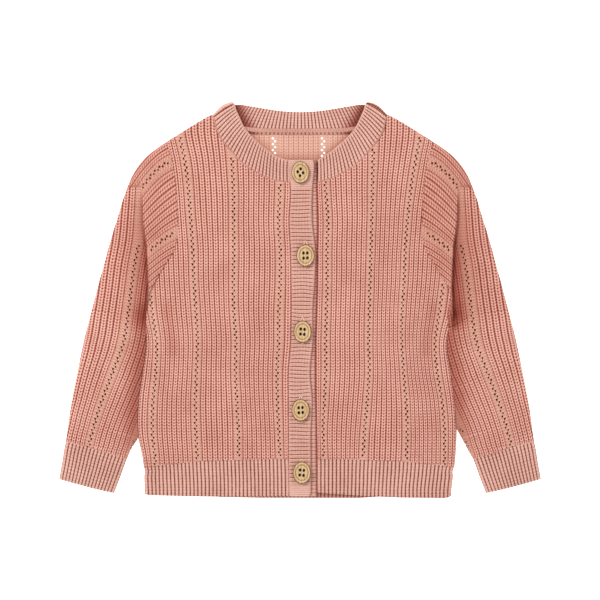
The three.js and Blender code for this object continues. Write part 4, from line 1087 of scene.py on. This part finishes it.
def sleeve_pattern(side):
    """Ribs, relief, folds and light of one sleeve, as a function of places in the plan."""
    def pattern(x, y, share):
        past = x - np.interp(y, CREASE[:, 0], CREASE[:, 1])
        in_cap = ((past > 0) & (y > CREASE_FOOT)) | (y > CREASE_TOP)
        (u, v), (u_cap, v_cap) = lower_ribs(x, y), cap_ribs(x, y)
        u, v = np.where(in_cap, u_cap, u), np.where(in_cap, v_cap, v)
        relief, plain = panel_relief(u, v, SLEEVE_HOLE_RIBS)
        plain = np.maximum(plain, 0.12 * in_cap)
        # The cap ends in a ridge, beyond which the cloth drops. Both fade out towards the underarm.
        above_foot = np.clip((y + 24) / 14, 0, 1)
        strength = np.clip((CREASE_TOP - y) / 16, 0, 1) ** 0.7 * above_foot
        step = 0.5 + 0.5 * np.tanh(past / 0.5)
        across = hill(y - CREASE_TOP, 1.2) * np.clip((-117 - x) / 2, 0, 1)
        lift = strength * (step * hill(past, 6) - (1 - step) * 3.4 * np.exp(-np.abs(past / 7.5)))
        lift = lift + 0.3 * wobble(x, y, 34, 61 + side) + fold_lift(x, y) * (y < 60)
        lift = lift - 0.6 * across - seam_dip(x, y, np.concatenate([armhole, shoulder])) * underarm_ease(y)
        # Painted shade below the ridge, in the crease and along its top, and beside the body; a painted
        # highlight on the ridge; and the cap is painted a little darker.
        shadow = CREASE_SHADOW[side] * np.clip((CREASE_TOP - y) / 45, 0, 1) * above_foot
        beside = np.exp(-(np.maximum(x + body_edge(side, y), -60) ** 2) / 90) * np.clip((1.0 - y) / 14, 0, 1)
        painted_light = 1 - shadow * (1 - step) * np.exp(-np.abs(past / 11)) - 0.22 * across - 0.46 * beside
        painted_light = painted_light + 0.05 * strength * step * hill(past, 6) - 0.12 * in_cap
        painted_light = painted_light * (1 - 0.4 * strength * hill(past + 0.5, 0.9))
        return u, v, relief, plain, lift, painted_light * painted_groove_shade(relief)
    return pattern


def along_line(points, courses):
    """Holes along a line of points, one each course, to its two sides in turn."""
    if courses[0] > courses[-1]:
        points, courses = points[::-1], courses[::-1]
    at = np.arange(math.ceil(courses[0]), math.floor(courses[-1]) + 1)
    x, y = places_at(at, courses, points).T
    ahead_x, ahead_y = places_at(at, courses, unit(np.gradient(points, axis=0))).T
    turn = SLEEVE_ZIGZAG * np.where(at % 2 == 0, 1, -1)
    return np.stack([x + ahead_y * turn, y - ahead_x * turn], -1)


def sleeve_holes():
    """The holes of both lines, below the cap and in it."""
    shows = (line_y > -111) & (line_y < 43)
    found = [along_line(np.stack([line_x, line_y], -1)[shows], line_length[shows] / COURSE)]
    for rib, near, far in ((0, -97.5, -118.5), (9, -94.5, -112.4)):
        _, start, fall, bend = CAP_LINES[CAP_LINES[:, 0] == rib][0]
        x = np.linspace(near, far, 200)
        y = start + (x - CAP_X) * fall - (x - CAP_X) ** 2 * bend
        found.append(along_line(np.stack([x, y], -1), cap_ribs(x, y)[1]))
    y = np.linspace(-114.5, -96, 100)
    x = np.interp(y, line_y, line_x) + 9 * np.interp(y, SLEEVE_LINE[:, 0], SLEEVE_LINE[:, 3])
    found.append(along_line(np.stack([x, y], -1), lower_ribs(x, y)[1]))
    return np.concatenate(found)


def sleeve(side, name):
    """One sleeve, trimmed where the body lies on it, with funnels for its holes in the upper cloth."""
    rings = ring_table(SLEEVE, SLEEVE_RINGS)
    under_body = SLEEVE_SPARE - body_edge(side, rings[:, 5])
    free_end = np.interp(rings[:, 5], *np.array(SLEEVE_FREE_END[side]).T, right=0.0)
    rings[:, 4] = np.where(rings[:, 5] < -22, np.minimum(under_body, free_end), rings[:, 4])
    piece = tube(name, side, rings, sleeve_pattern(side), RIB_RISE, SLEEVE_COLUMNS, SLEEVE_INNER_ROWS)
    y = np.linspace(-140, TRUE_SIDE_FROM, 45)
    edge = np.stack([UNDER_SIDE - np.abs(front_edge(side, "side", y)), y], -1)
    body = np.concatenate([edge, [(-side_lead(side), UNDERARM[1])], armhole, shoulder, [(0, 139), (0, -140)]])
    # The faces this cut makes get painted shade.
    cut(piece, [offset(body, -LAP) * (-side, 1)], "DIFFERENCE", tone=0.8)
    holes = sleeve_holes()
    clear = ~inside_by(holes, offset(body, 1.3), 0) & ((holes[:, 1] > -98) | (holes[:, 0] < -123.5))
    centres = holes[clear] * (-side, 1)
    pierce(piece, centres, np.full(len(centres), SLEEVE_LEAN * side), SLEEVE_EYELET_REACH)
    piece.data.materials.append(PANEL_YARN)
    print(name, len(piece.data.polygons), "faces,", len(centres), "holes")
    return piece


right_sleeve, left_sleeve = sleeve(-1, "right_sleeve_knit"), sleeve(1, "left_sleeve_knit")

# %% [markdown]
# ## The cuffs
#
# The cuffs are the same kind of tube in the fine rib, open at the wrist, where the wall's thickness shows.

# %% The cuffs
CUFF = np.array([  # rings, as those of the sleeve
    (-175.4, -104.8, -152.5, -111.3, -129.7, -118.1, 5.9),
    (-176.9, -112.0, -154.3, -118.3, -132.2, -124.8, 6.2),
    (-178.0, -119.3, -156.0, -125.3, -134.6, -131.5, 6.0),
    (-180.2, -131.6, -159.0, -137.6, -138.9, -142.6, 5.7),
    (-180.6, -133.4, -159.4, -139.3, -139.6, -144.0, 4.6),
])
CUFF_RIBS, CUFF_LENGTH, CUFF_RISE = 17, 29, 0.75
CUFF_RINGS, CUFF_INNER_ROWS = 42, 8


def cuff_pattern(x, y, share):
    u = np.broadcast_to(share * CUFF_RIBS, x.shape)
    v = (np.linspace(CUFF_LENGTH, 0, len(x))[:, None] + 0 * x) / COURSE
    relief = fine_relief(u, v)
    return u, v, relief**1.4, 0 * u, 0.15 * wobble(x, y, 20, 71), painted_groove_shade(relief)


def cuff(side, name):
    """One cuff, a short tube in fine rib."""
    rings = ring_table(CUFF, CUFF_RINGS)
    piece = tube(name, side, rings, cuff_pattern, CUFF_RISE, CUFF_RIBS * 6, CUFF_INNER_ROWS)
    piece.data.materials.append(BAND_YARN)
    print(name, len(piece.data.polygons), "faces")
    return piece


right_cuff, left_cuff = cuff(-1, "right_cuff_rib"), cuff(1, "left_cuff_rib")

# %% [markdown]
# ## The neckband
#
# The neckband is one strip of fine rib round the neck. In front its outside is up; at each shoulder it folds
# over, and behind, its inside is up. It is swept along two curves, its sewn edge and its free edge, and the
# direction it faces turns from up, through sideways at the fold, to down.

# %% The neckband
NECK_FRONT = [  # x and y of the sewn edge and of the free edge, and the height of the middle of the wall
    (-6.9, 88.9, -6.9, 105.4, 3.6), (-17.3, 90.0, -16.5, 108.0, 3.6), (-26.3, 93.0, -24.0, 112.9, 3.6),
    (-37.0, 99.0, -30.8, 118.5, 3.7), (-45.0, 105.0, -36.4, 123.8, 3.9), (-52.5, 113.6, -41.3, 129.8, 4.1),
    (-58.5, 120.8, -44.6, 136.5, 4.2), (-62.6, 129.0, -47.4, 142.6, 4.3),
]
NECK_FOLD, FOLD_RADIUS = (-64.4, 137.2, -48.8, 147.2, 2.7), 1.6
NECK_BACK = [
    (-58.5, 130.5, -44.0, 147.2, 1.1), (-46.5, 126.8, -36.0, 146.0, 1.1), (-33.0, 125.6, -25.5, 144.2, 1.1),
    (-16.5, 125.3, -13.5, 142.5, 1.1), (0, 125.3, 0, 141.8, 1.1),
]
NECK_HALF_WALL, NECK_WIDTH, NECK_PITCH, NECK_START = 1.1, 19, 2.65, 13.1


def neck_stations():
    """Rows of sewn edge, free edge, height and turn, from band to band."""
    half = [(*row, 0.0) for row in NECK_FRONT]
    sx, sy, fx, fy, z = NECK_FOLD
    across = np.array([fx - sx, fy - sy]) / math.hypot(fx - sx, fy - sy)
    for turn in (0, 60, 120, 180):
        out, up = FOLD_RADIUS * math.sin(math.radians(turn)), FOLD_RADIUS * math.cos(math.radians(turn))
        dx, dy = -across[1] * out, across[0] * out
        half.append((sx + dx, sy + dy, fx + dx, fy + dy, z + up, float(turn)))
    half += [(*row, 180.0) for row in NECK_BACK]
    other = [(-a, b, -c, d, e, 360.0 - f) for a, b, c, d, e, f in half[-2::-1]]
    other[-1] = (NECK_START, other[-1][1], NECK_START, *other[-1][3:])
    return np.array(half + other)


def neck_middle(rows):
    """The middle of the neckband's width, at each row of edges and height."""
    return (rows[:, [0, 1, 4]] + rows[:, [2, 3, 4]]) / 2


def neckband():
    """The strip of rib round the neck, turned over at both shoulders."""
    rows = neck_stations()
    at = distances(neck_middle(rows), 0.5)
    fine = np.linspace(0, at[-1], 4000)
    drawn = np.c_[smooth_rows(fine, at, rows[:, :5]), np.interp(fine, at, rows[:, 5])]
    along = distances(neck_middle(drawn))
    ribs = round(along[-1] / NECK_PITCH)
    row = places_at(np.linspace(0, along[-1], ribs * 6 + 1), along, drawn)
    seam, free, turn = row[:, [0, 1, 4]], row[:, [2, 3, 4]], row[:, 5]
    across = unit(free - seam)
    tilt = np.abs(np.sin(np.radians(turn)))
    normal = unit(np.c_[-across[:, 1] * tilt, across[:, 0] * tilt, np.cos(np.radians(turn))])
    from_front = np.minimum(turn, 360 - turn)  # the same at both shoulders
    share = np.r_[-0.03, np.linspace(0.03, 0.93, 21), 0.975, 1.0]
    u = np.repeat(np.linspace(0, ribs, len(row))[:, None], len(share), 1)
    v = np.repeat(share[None] * NECK_WIDTH / COURSE, len(row), 0)
    fade = np.clip((0.97 - share) / 0.06, 0, 1) * np.clip((share - 0.02) / 0.04, 0, 1)
    over = hill(from_front - 90, 45)[:, None]
    relief = 1 - (1 - fine_relief(u, v)) * fade * (1 - 0.7 * over)
    soft = np.where(share > 0.99, 0.35, np.where(share > 0.96, 0.8, 1.0))
    spine = seam[:, None] * (1 - share[None, :, None]) + free[:, None] * share[None, :, None]
    bulge = 2.3 * hill(from_front - 75, 60)[:, None] * np.sin(np.pi * np.maximum(share, 0) ** 1.2)
    spine[..., 1] += bulge * 0.8
    spine[..., 0] += bulge * 0.5 * np.sign(spine[..., 0])
    # Painted shade behind, beside the folds that overhang the band; and the band is painted darker along its
    # sewn edge, most in front.
    behind = hill(turn - 180, 25)[:, None]
    from_fold = 51 - np.abs(spine[..., 0]) - 0.488 * (148.5 - spine[..., 1])
    shade = painted_groove_shade(relief) * (1 - 0.75 * behind * hill(np.maximum(from_fold, 0), 7.5))
    shade = shade * (1 - (0.25 - 0.12 * behind) * np.clip((0.07 - share) / 0.05, 0, 1))

    def face(sign):
        depth = FINE_RISE * (1 - relief) * (1 + sign * normal[:, 2:3]) / 2
        points = spine + sign * normal[:, None] * ((NECK_HALF_WALL - depth) * soft)[..., None]
        points[..., 2] = np.maximum(points[..., 2], 0)
        return points

    uv = np.stack([u, v], -1)
    piece = wall("neckband_rib", face(1), face(-1), uv, uv, (shade, 0.9 * (1 - fade) + 0 * u), shade.ravel())
    piece.data.materials.append(BAND_YARN)
    print("neckband", ribs, "ribs,", len(piece.data.polygons), "faces")
    return piece


neckband_piece = neckband()

# %% [markdown]
# ## The two button bands
#
# The bands are knitted sideways, so their ribs lie across. The upper band waves in and out between its
# buttons, because each button holds it, and its two ends are plain where the ribs were cast off.

# %% The button bands
PLACKET = np.array([  # y, and x of the left and right edges of the upper band
    (-146.4, -7.6, 6.8), (-145.0, -8.1, 8.0), (-142.5, -8.2, 8.5), (-120.0, -8.5, 8.5), (-97.5, -8.5, 8.4),
    (-75.0, -8.5, 9.3), (-52.5, -8.5, 7.7), (-30.0, -6.7, 9.8), (-7.5, -6.4, 9.7), (15.0, -6.5, 11.2),
    (37.5, -6.9, 11.8), (60.0, -7.9, 9.4), (82.5, -6.9, 9.5), (102.0, -8.4, 11.0), (105.6, -8.2, 10.4),
])
PLACKET_PITCH, PLACKET_FLOOR, BAND_INNER_ROWS = 2.87, 4.7, 60
UNDER_PLACKET_FREE, UNDER_PLACKET_TOP = -4.5, 4.4  # x of the lower band's hidden edge, and its height
BUTTONS = [  # x, y and turn of each
    (0.3, 96.3, 38), (4.1, 34.0, 2), (1.9, -23.0, -4), (0.5, -81.7, 3), (1.4, -128.5, -5),
]


def upper_band():
    """The band with the buttonholes. Each button presses it down a little."""
    low, high = PLACKET[0, 0], PLACKET[-1, 0]
    ribs = round((high - low) / PLACKET_PITCH)
    y = np.linspace(low, high, ribs * 6 + 1)[:, None]
    share = np.linspace(0, 1, 31)
    left, right = (smooth_column(PLACKET, k, y) for k in (1, 2))
    x = left + (right - left) * share
    rows = y + 0.5 * wobble(x, y, 26, 81) * np.sin(np.pi * np.linspace(0, 1, len(y)))[:, None]
    u = np.broadcast_to(np.linspace(0, ribs, len(y))[:, None], x.shape)
    v = (x - left) / COURSE
    fade = np.clip((1 - share) / 0.18, 0, 1) * np.clip(share / 0.08, 0, 1)
    ends = np.clip((86 - rows) / 3, 0, 1) * np.clip((rows + 139) / 4, 0, 1)
    relief = 1 - (1 - fine_relief(u, v)) * (0.25 + 0.75 * fade) * (0.12 + 0.88 * ends)
    rise = np.clip((x - left) / 4.5, 0, 1)
    rise = rise * rise * (3 - 2 * rise)
    top = (PLACKET_SEAM_FLOOR + 0.5) * (1 - rise) + PLACKET_FLOOR * rise + WALL + 0.45 * relief
    top -= 1.4 * edge_share(right - x, 1.3) ** 2 + 0.7 * edge_share(x - left, 0.8) ** 2
    for button_x, button_y, _ in BUTTONS:
        top -= 0.22 * hill(x - button_x, 8) * hill(rows - button_y, 9)
    outer = np.stack([x, rows, top], -1)
    inner_y = np.linspace(low, high, BAND_INNER_ROWS)[:, None]
    inner_left, inner_right = (smooth_column(PLACKET, k, inner_y) for k in (1, 2))
    inner_x = np.hstack([inner_left, np.full_like(inner_y, UNDER_PLACKET_FREE - 0.3), inner_right - 0.6])
    inner_z = np.broadcast_to([PLACKET_SEAM_FLOOR, PLACKET_FLOOR, PLACKET_FLOOR], inner_x.shape)
    inner = np.stack([inner_x, np.repeat(inner_y, 3, 1), inner_z], -1)
    plain = 1 - 0.66 * fade * ends + 0 * relief
    middle_line = 0.16 * hill(np.mod(u, 1) - 0.5, 0.13) * fade * ends
    # Painted shade where the band's right edge rolls down; the middle line is a line of the knit.
    shade = (painted_groove_shade(relief) - middle_line) * (1 - 0.4 * edge_share(1.002 - share, 0.06))
    inner_uv = inner[..., :2] / HIDDEN_PITCH
    piece = wall("upper_band_rib", outer, inner, np.stack([u, v], -1), inner_uv, (shade, plain))
    piece.data.materials.append(BAND_YARN)
    print("upper button band", ribs, "ribs,", len(piece.data.polygons), "faces")
    return piece


def lower_band():
    """The band with the buttons. A narrow strip of it shows beside the upper one, and the rest is plain."""
    low, high = FRONT_HEM_END, PLACKET[-1, 0] - 0.5
    ribs = round((high - low) / PLACKET_PITCH)
    y = np.linspace(low, high, ribs * 5 + 1)[:, None]
    share = np.r_[np.linspace(0, 0.6, 4), np.linspace(0.65, 1, 14)]
    right = front_edge(1, "placket", np.minimum(y, LEFT_FRONT[-2, 0]))
    x = UNDER_PLACKET_FREE + (right - UNDER_PLACKET_FREE) * share
    rows, u = (np.broadcast_to(values, x.shape) for values in (y, np.linspace(0, ribs, len(y))[:, None]))
    from_front, v = right - x, (x - right) / COURSE
    relief = fine_relief(u, v)
    top = UNDER_PLACKET_TOP - 0.45 * (1 - relief) - 0.8 * edge_share(from_front, 0.7) ** 2
    # Painted shade: a dark line where the strip meets the front, besides the grooves.
    strip = painted_groove_shade(relief) * (1 - 0.62 * hill(from_front - 0.6, 0.9))
    outer = np.stack([x, rows, top], -1)
    under = np.stack([x, rows, np.full(x.shape, FRONT_FLOOR)], -1)[:, ::4]
    inner = np.concatenate([under[::10], under[-1:]])
    inner_uv = inner[..., :2] / HIDDEN_PITCH
    piece = wall("lower_band_rib", outer, inner, np.stack([u, v], -1), inner_uv, (strip, 0.75 + 0 * relief))
    piece.data.materials.append(BAND_YARN)
    print("lower button band", len(piece.data.polygons), "faces")
    return piece


upper_band_piece, lower_band_piece = upper_band(), lower_band()

# %% [markdown]
# ## The buttons
#
# Five oval buttons of pale wood with a raised rim, a groove inside it and a dished middle with four holes. A
# profile is turned round and squeezed to an oval, and the holes are sunk nearly to the underside, which is
# hidden. Growth lines of the wood run across each button in their own direction.

# %% Wood and buttons
WOOD_LIGHT, WOOD_DARK = (0.80, 0.575, 0.315), (0.50, 0.315, 0.145)
PAINTED_WOOD_SHADE = [
    (0.0, (0.030, 0.011, 0.004)), (0.3, (0.23, 0.12, 0.05)),
    (0.65, (0.72, 0.60, 0.44)), (0.9, (1, 1, 1)),
]


def wood(name, turn):
    """Pale satin wood with fine grain lines, with painted shade, brown to near black, where the tone is low.
    """
    material, tree, shader = shader_tree(name, 0.55)
    tone = knit_places(tree)[2]
    place = add_node(tree, "ShaderNodeTexCoord").outputs["Object"]
    stretch = {"Vector": place, "Rotation": (0, 0, turn), "Scale": (1, 0.12, 1)}
    turned = add_node(tree, "ShaderNodeMapping", inputs=stretch).outputs[0]
    grain = noise(tree, turned, 1000.0, 5.0, Roughness=0.65)
    waves = {"Vector": turned, "Scale": 150.0, "Distortion": 3.0, "Detail": 2.0}
    rings = add_node(tree, "ShaderNodeTexWave", inputs=waves).outputs["Fac"]
    both = calc(tree, "MULTIPLY_ADD", grain, 0.8, calc(tree, "MULTIPLY", rings, 0.2))
    body = ramp_of(tree, both, [(0.3, WOOD_DARK), (0.7, WOOD_LIGHT)])
    # Painted shade from the tone: darker round the rim's outer side, in its groove and in the drilled holes.
    colour = blend(tree, 1.0, body, ramp_of(tree, tone, PAINTED_WOOD_SHADE), "MULTIPLY")
    tree.links.new(colour, shader.inputs["Base Color"])
    relief = {"Strength": 0.3, "Distance": 0.0001, "Height": both}
    tree.links.new(add_node(tree, "ShaderNodeBump", inputs=relief).outputs[0], shader.inputs["Normal"])
    return material


BUTTON_WIDTH, BUTTON_HEIGHT = 13.3, 16.5
BUTTON_FLOOR = 7.3
# The tone column is painted shade: low on the rim's outer side, in its groove and underneath.
BUTTON_PROFILE = np.array([  # radius, height and tone, from the underside's middle round to the top's middle
    (0.01, 0.0, 0.6), (6.6, 0.0, 0.4), (7.4, 0.3, 0.2), (8.0, 0.9, 0.15), (8.25, 1.5, 0.1),
    (8.15, 2.0, 0.14), (7.8, 2.4, 0.45), (7.35, 2.6, 0.95), (6.8, 2.55, 1.0), (6.3, 2.3, 0.8),
    (5.95, 2.02, 0.5), (5.6, 1.98, 0.55), (5.2, 2.12, 0.82), (4.3, 2.1, 0.85), (3.0, 1.95, 0.84),
    (1.5, 1.85, 0.83), (0.01, 1.82, 0.83),
])
BUTTON_SIDES = 56
HOLE_RADIUS, HOLE_X, HOLE_Y, HOLE_END = 1.25, 1.78, 1.88, 0.4  # the holes end this high above the underside


def circle(count):
    """Points round a circle of radius 1."""
    angle = np.arange(count) / count * 2 * np.pi
    return np.stack([np.cos(angle), np.sin(angle)], -1)


def button(number, x, y, turn):
    """One button: a turned profile with four holes, turned to lie as it was sewn on."""
    profile = smooth_path(BUTTON_PROFILE, 44)
    rounds = profile[:, None, :1] * circle(BUTTON_SIDES)
    points = np.dstack([rounds, np.repeat(profile[:, 1:2], BUTTON_SIDES, 1)]).reshape(-1, 3)
    loops, middle = number_loops(len(profile), BUTTON_SIDES), np.full(BUTTON_SIDES, len(points))
    caps = [np.c_[loops[0, 1:], loops[0, :-1], middle], np.c_[loops[-1, :-1], loops[-1, 1:], middle + 1]]
    triangles = np.concatenate([grid_triangles(loops), *caps])
    points = np.r_[points, [(0, 0, profile[0, 1]), (0, 0, profile[-1, 1])]]
    tone = np.zeros((len(points), 2))
    tone[:, 0] = np.r_[np.repeat(profile[:, 2], BUTTON_SIDES), 0.9, 0.9]
    maps = {"Knit": points[:, :2], "Tone": tone}
    piece = make_mesh(f"wooden_button_{number}", points, outward(points, triangles), maps)
    holes = [HOLE_RADIUS * circle(14) + (right * HOLE_X, up * HOLE_Y) for right in (-1, 1) for up in (-1, 1)]
    # The holes' walls get tone 0, painted as near-black shade.
    cut(piece, holes, "DIFFERENCE", low=HOLE_END)
    points = points_of(piece)
    c, s = math.cos(math.radians(turn)), math.sin(math.radians(turn))
    points[:, :2] = points[:, :2] @ np.array([[c, s], [-s, c]])
    points[:, 0] *= BUTTON_WIDTH / BUTTON_HEIGHT
    points += (x, y, BUTTON_FLOOR)
    piece.data.vertices.foreach_set("co", (points * MM).ravel())
    piece.data.materials.append(wood(f"button wood {number}", rng.uniform(-1, 1)))
    return piece


buttons = [button(k + 1, *place) for k, place in enumerate(BUTTONS)]
print("buttons:", len(buttons), "with", len(buttons[0].data.polygons), "faces each")

# %% [markdown]
# ## Buttonholes
#
# Under each button is a slit in the band, worked round with close stitches of the same yarn. Its end shows
# just past the button's edge. A ring of thread with a bead for each stitch is enough at this size.

# %% The buttonholes
STITCHES, THREAD_SIDES = 40, 10  # stitches round a buttonhole, and sides of its thread
SLIT, THREAD_WIDTH = (1.35, 9.6), 0.62
HOLE_SHIFTS = (-0.5, 1.2, 0.9, 0.6, 0.2)  # how far each slit's middle is above its button's
THREAD = yarn("buttonhole thread", [
    (0.0, (0.60, 0.34, 0.24)), (0.5, (0.80, 0.54, 0.40)), (1.0, (0.88, 0.64, 0.50)),
], thick=False)


def buttonhole(number, x, y):
    """A long ring of close stitches round the slit, lying on the band."""
    way = circle(STITCHES * 4)
    path = (x, y) + np.array(SLIT) * np.sign(way) * np.abs(way) ** 0.8
    ahead = unit(np.roll(path, -1, 0) - np.roll(path, 1, 0))
    out = np.stack([ahead[:, 1], -ahead[:, 0]], -1)
    bead = 0.82 + 0.18 * np.cos(np.arange(len(path)) * np.pi / 2)
    turn = circle(THREAD_SIDES)
    fat = THREAD_WIDTH * bead[:, None]
    plan = path[:, None] + out[:, None] * (fat * turn[:, 0])[..., None]
    points = np.dstack([plan, PLACKET_FLOOR + WALL + 0.42 + 0.75 * fat * turn[:, 1]]).reshape(-1, 3)
    loops = number_loops(len(path), THREAD_SIDES)
    triangles = grid_triangles(np.r_[loops, loops[:1]])
    # Painted shade: the tone is lower between the stitches' beads.
    tone = np.stack([np.repeat(bead, THREAD_SIDES), np.zeros(len(points))], -1)
    around = np.arange(THREAD_SIDES) / THREAD_SIDES * 2 * np.pi
    uv = np.stack([np.repeat(np.arange(len(path)) / 4, THREAD_SIDES), np.tile(around, len(path))], -1)
    piece = make_mesh(f"buttonhole_{number}", points, outward(points, triangles), {"Knit": uv, "Tone": tone})
    piece.data.materials.append(THREAD)
    return piece


buttonholes = []
for (x, y, _), shift in zip(BUTTONS, HOLE_SHIFTS):
    buttonholes.append(buttonhole(len(buttonholes) + 1, x, y + shift))
print("buttonholes:", len(buttonholes), "with", STITCHES, "stitches each")

# %% [markdown]
# ## The seam inside the neck
#
# Where the neckband is linked to the back, a chain of stitches runs along the inside. It is a row of small
# loops, each one leaning into the next.

# %% The linking chain
CHAIN_LINE = [(-45, 129.9), (-33, 128.1), (-16.5, 127.7), (0, 127.7), (16.5, 127.7), (33, 128.1), (45, 129.9)]
CHAIN_LOOP, CHAIN_WIDTH, CHAIN_FLOOR = 1.9, 1.7, 1.95


def chain():
    """A chain of V-shaped loops along the seam."""
    line = smooth_path(CHAIN_LINE, 400)
    along = distances(line)
    place = np.linspace(0, along[-1], int(along[-1] / CHAIN_LOOP) * 6 + 1)
    path = places_at(place, along, line)
    ahead = unit(np.gradient(path, axis=0))
    out = np.stack([-ahead[:, 1], ahead[:, 0]], -1)
    across = np.linspace(-1, 1, 13)
    u = (place / CHAIN_LOOP)[:, None] + 0.5 * np.abs(across)
    bead = 0.5 + 0.5 * np.cos(2 * np.pi * u)
    height = np.sqrt(1 - across**2) * (1 - 0.35 * hill(across, 0.18)) * (0.55 + 0.45 * bead)
    ends = np.clip(np.minimum(place, along[-1] - place) / 1.5, 0, 1)[:, None]
    plan = path[:, None] + out[:, None] * (across * CHAIN_WIDTH)[None, :, None]
    outer = np.dstack([plan, CHAIN_FLOOR + 0.9 * height * ends])
    inner = outer[::6, ::4].copy()
    inner[..., 2] = CHAIN_FLOOR - 0.15
    uv = np.stack([u, np.broadcast_to(across * 2, u.shape)], -1)
    # Painted shade: the tone is lower where the loops are low.
    tone = (0.62 + 0.4 * height, 0.7 + 0 * u)
    piece = wall("neck_seam_chain", outer, inner, uv, inner[..., :2], tone, 0.9)
    piece.data.materials.append(BAND_YARN)
    return piece


neck_chain = chain()
print("chain", len(neck_chain.data.polygons), "faces")

# %% [markdown]
# ## The table, the light and the camera
#
# The photograph is a plain cut-out on white, taken from straight above. The floor is a large white sheet, the
# light is broad and soft from above and a little from the left, and the sky lights every side. A long lens
# keeps the view nearly parallel.

# %% Stage, light and camera
WHITE = (1, 1, 1, 1)
FLOOR_HALF, FLOOR_DROP = 6, 0.0002
LIGHTS = (("key", (-0.9, 0.9, 1.5), 0.7, 22), ("fill", (1.3, -0.6, 1.6), 1.4, 9))  # place, size and power
SKY_STRENGTH = 0.62
FRAME_WIDTH, CAMERA_HEIGHT, CAMERA_Y = 0.45, 4.0, 0.00075


def floor():
    """The white sheet, a hair below the cardigan."""
    mesh = bpy.data.meshes.new("floor")
    corners = [(x * FLOOR_HALF, y * FLOOR_HALF, 0) for x, y in ((-1, -1), (1, -1), (1, 1), (-1, 1))]
    mesh.from_pydata(corners, [], [(0, 1, 2, 3)])
    piece = bpy.data.objects.new("floor", mesh)
    bpy.context.collection.objects.link(piece)
    material, _, shader = shader_tree("white floor", 0.9)
    shader.inputs["Base Color"].default_value = (0.93, 0.93, 0.93, 1)
    shader.inputs["Emission Color"].default_value = WHITE
    shader.inputs["Emission Strength"].default_value = 1.0
    mesh.materials.append(material)
    piece.location.z = -FLOOR_DROP
    return piece


def soft_light(name, at, size, power):
    """A round area light that looks at the middle."""
    light = bpy.data.lights.new(name, "AREA")
    light.shape, light.size, light.energy = "DISK", size, power
    lamp = bpy.data.objects.new(name, light)
    lamp.location = at
    lamp.rotation_euler = (-Vector(at)).to_track_quat("-Z", "Y").to_euler()
    bpy.context.collection.objects.link(lamp)


floor_piece = floor()
for lamp in LIGHTS:
    soft_light(*lamp)
world = bpy.data.worlds.new("sky")
bpy.context.scene.world = world
world.use_nodes = True
sky = world.node_tree.nodes["Background"].inputs
sky["Color"].default_value, sky["Strength"].default_value = WHITE, SKY_STRENGTH

camera_data = bpy.data.cameras.new("camera")
camera_data.lens = camera_data.sensor_width * CAMERA_HEIGHT / FRAME_WIDTH
camera = bpy.data.objects.new("camera", camera_data)
camera.location = (0, CAMERA_Y, CAMERA_HEIGHT)
camera_data.clip_end = 50
bpy.context.collection.objects.link(camera)
bpy.context.scene.camera = camera
bpy.context.scene.view_settings.view_transform = "Standard"
print("camera lens", round(camera_data.lens), "mm")

# %% [markdown]
# ## Tying the looks to the solids
#
# Each piece rides on the part's one body and stands for its solid, which is hidden. The table also gives each
# solid's finish and the flat size each piece of cloth was knitted to (a tube's is all the way round), but
# nothing here reads them.

# %% Dress the solids
DRESSED = [
    (back, "back_panel", "knit", (0.236, 0.263), 0.0590, "laid"),
    (back_hem_piece, "back_hem", "rib_knit", (0.224, 0.030), None, "laid"),
    (right_front, "right_front", "knit", (0.116, 0.263), 0.0262, "laid"),
    (right_front_hem, "right_front_hem", "rib_knit", (0.110, 0.028), None, "laid"),
    (left_front, "left_front", "knit", (0.106, 0.263), 0.0243, "laid"),
    (left_front_hem, "left_front_hem", "rib_knit", (0.104, 0.028), None, "laid"),
    (right_sleeve, "right_sleeve", "knit", (0.150, 0.245), 0.0245, "folded"),
    (left_sleeve, "left_sleeve", "knit", (0.150, 0.245), 0.0245, "folded"),
    (right_cuff, "right_cuff", "rib_knit", (0.096, 0.029), None, "folded"),
    (left_cuff, "left_cuff", "rib_knit", (0.096, 0.029), None, "folded"),
    (neckband_piece, "neckband", "rib_knit", (0.290, 0.020), None, "folded"),
    (lower_band_piece, "lower_button_band", "rib_knit", (0.018, 0.252), None, "laid"),
    (upper_band_piece, "upper_button_band", "rib_knit", (0.018, 0.252), None, "laid"),
]
for piece, node, slot, flat, area, held in DRESSED:
    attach(piece, "root")
    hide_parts(node)
for number, piece in enumerate(buttons, 1):
    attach(piece, "root")
    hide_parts(f"button_{number}")
for piece in [*buttonholes, neck_chain]:
    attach(piece, "root")
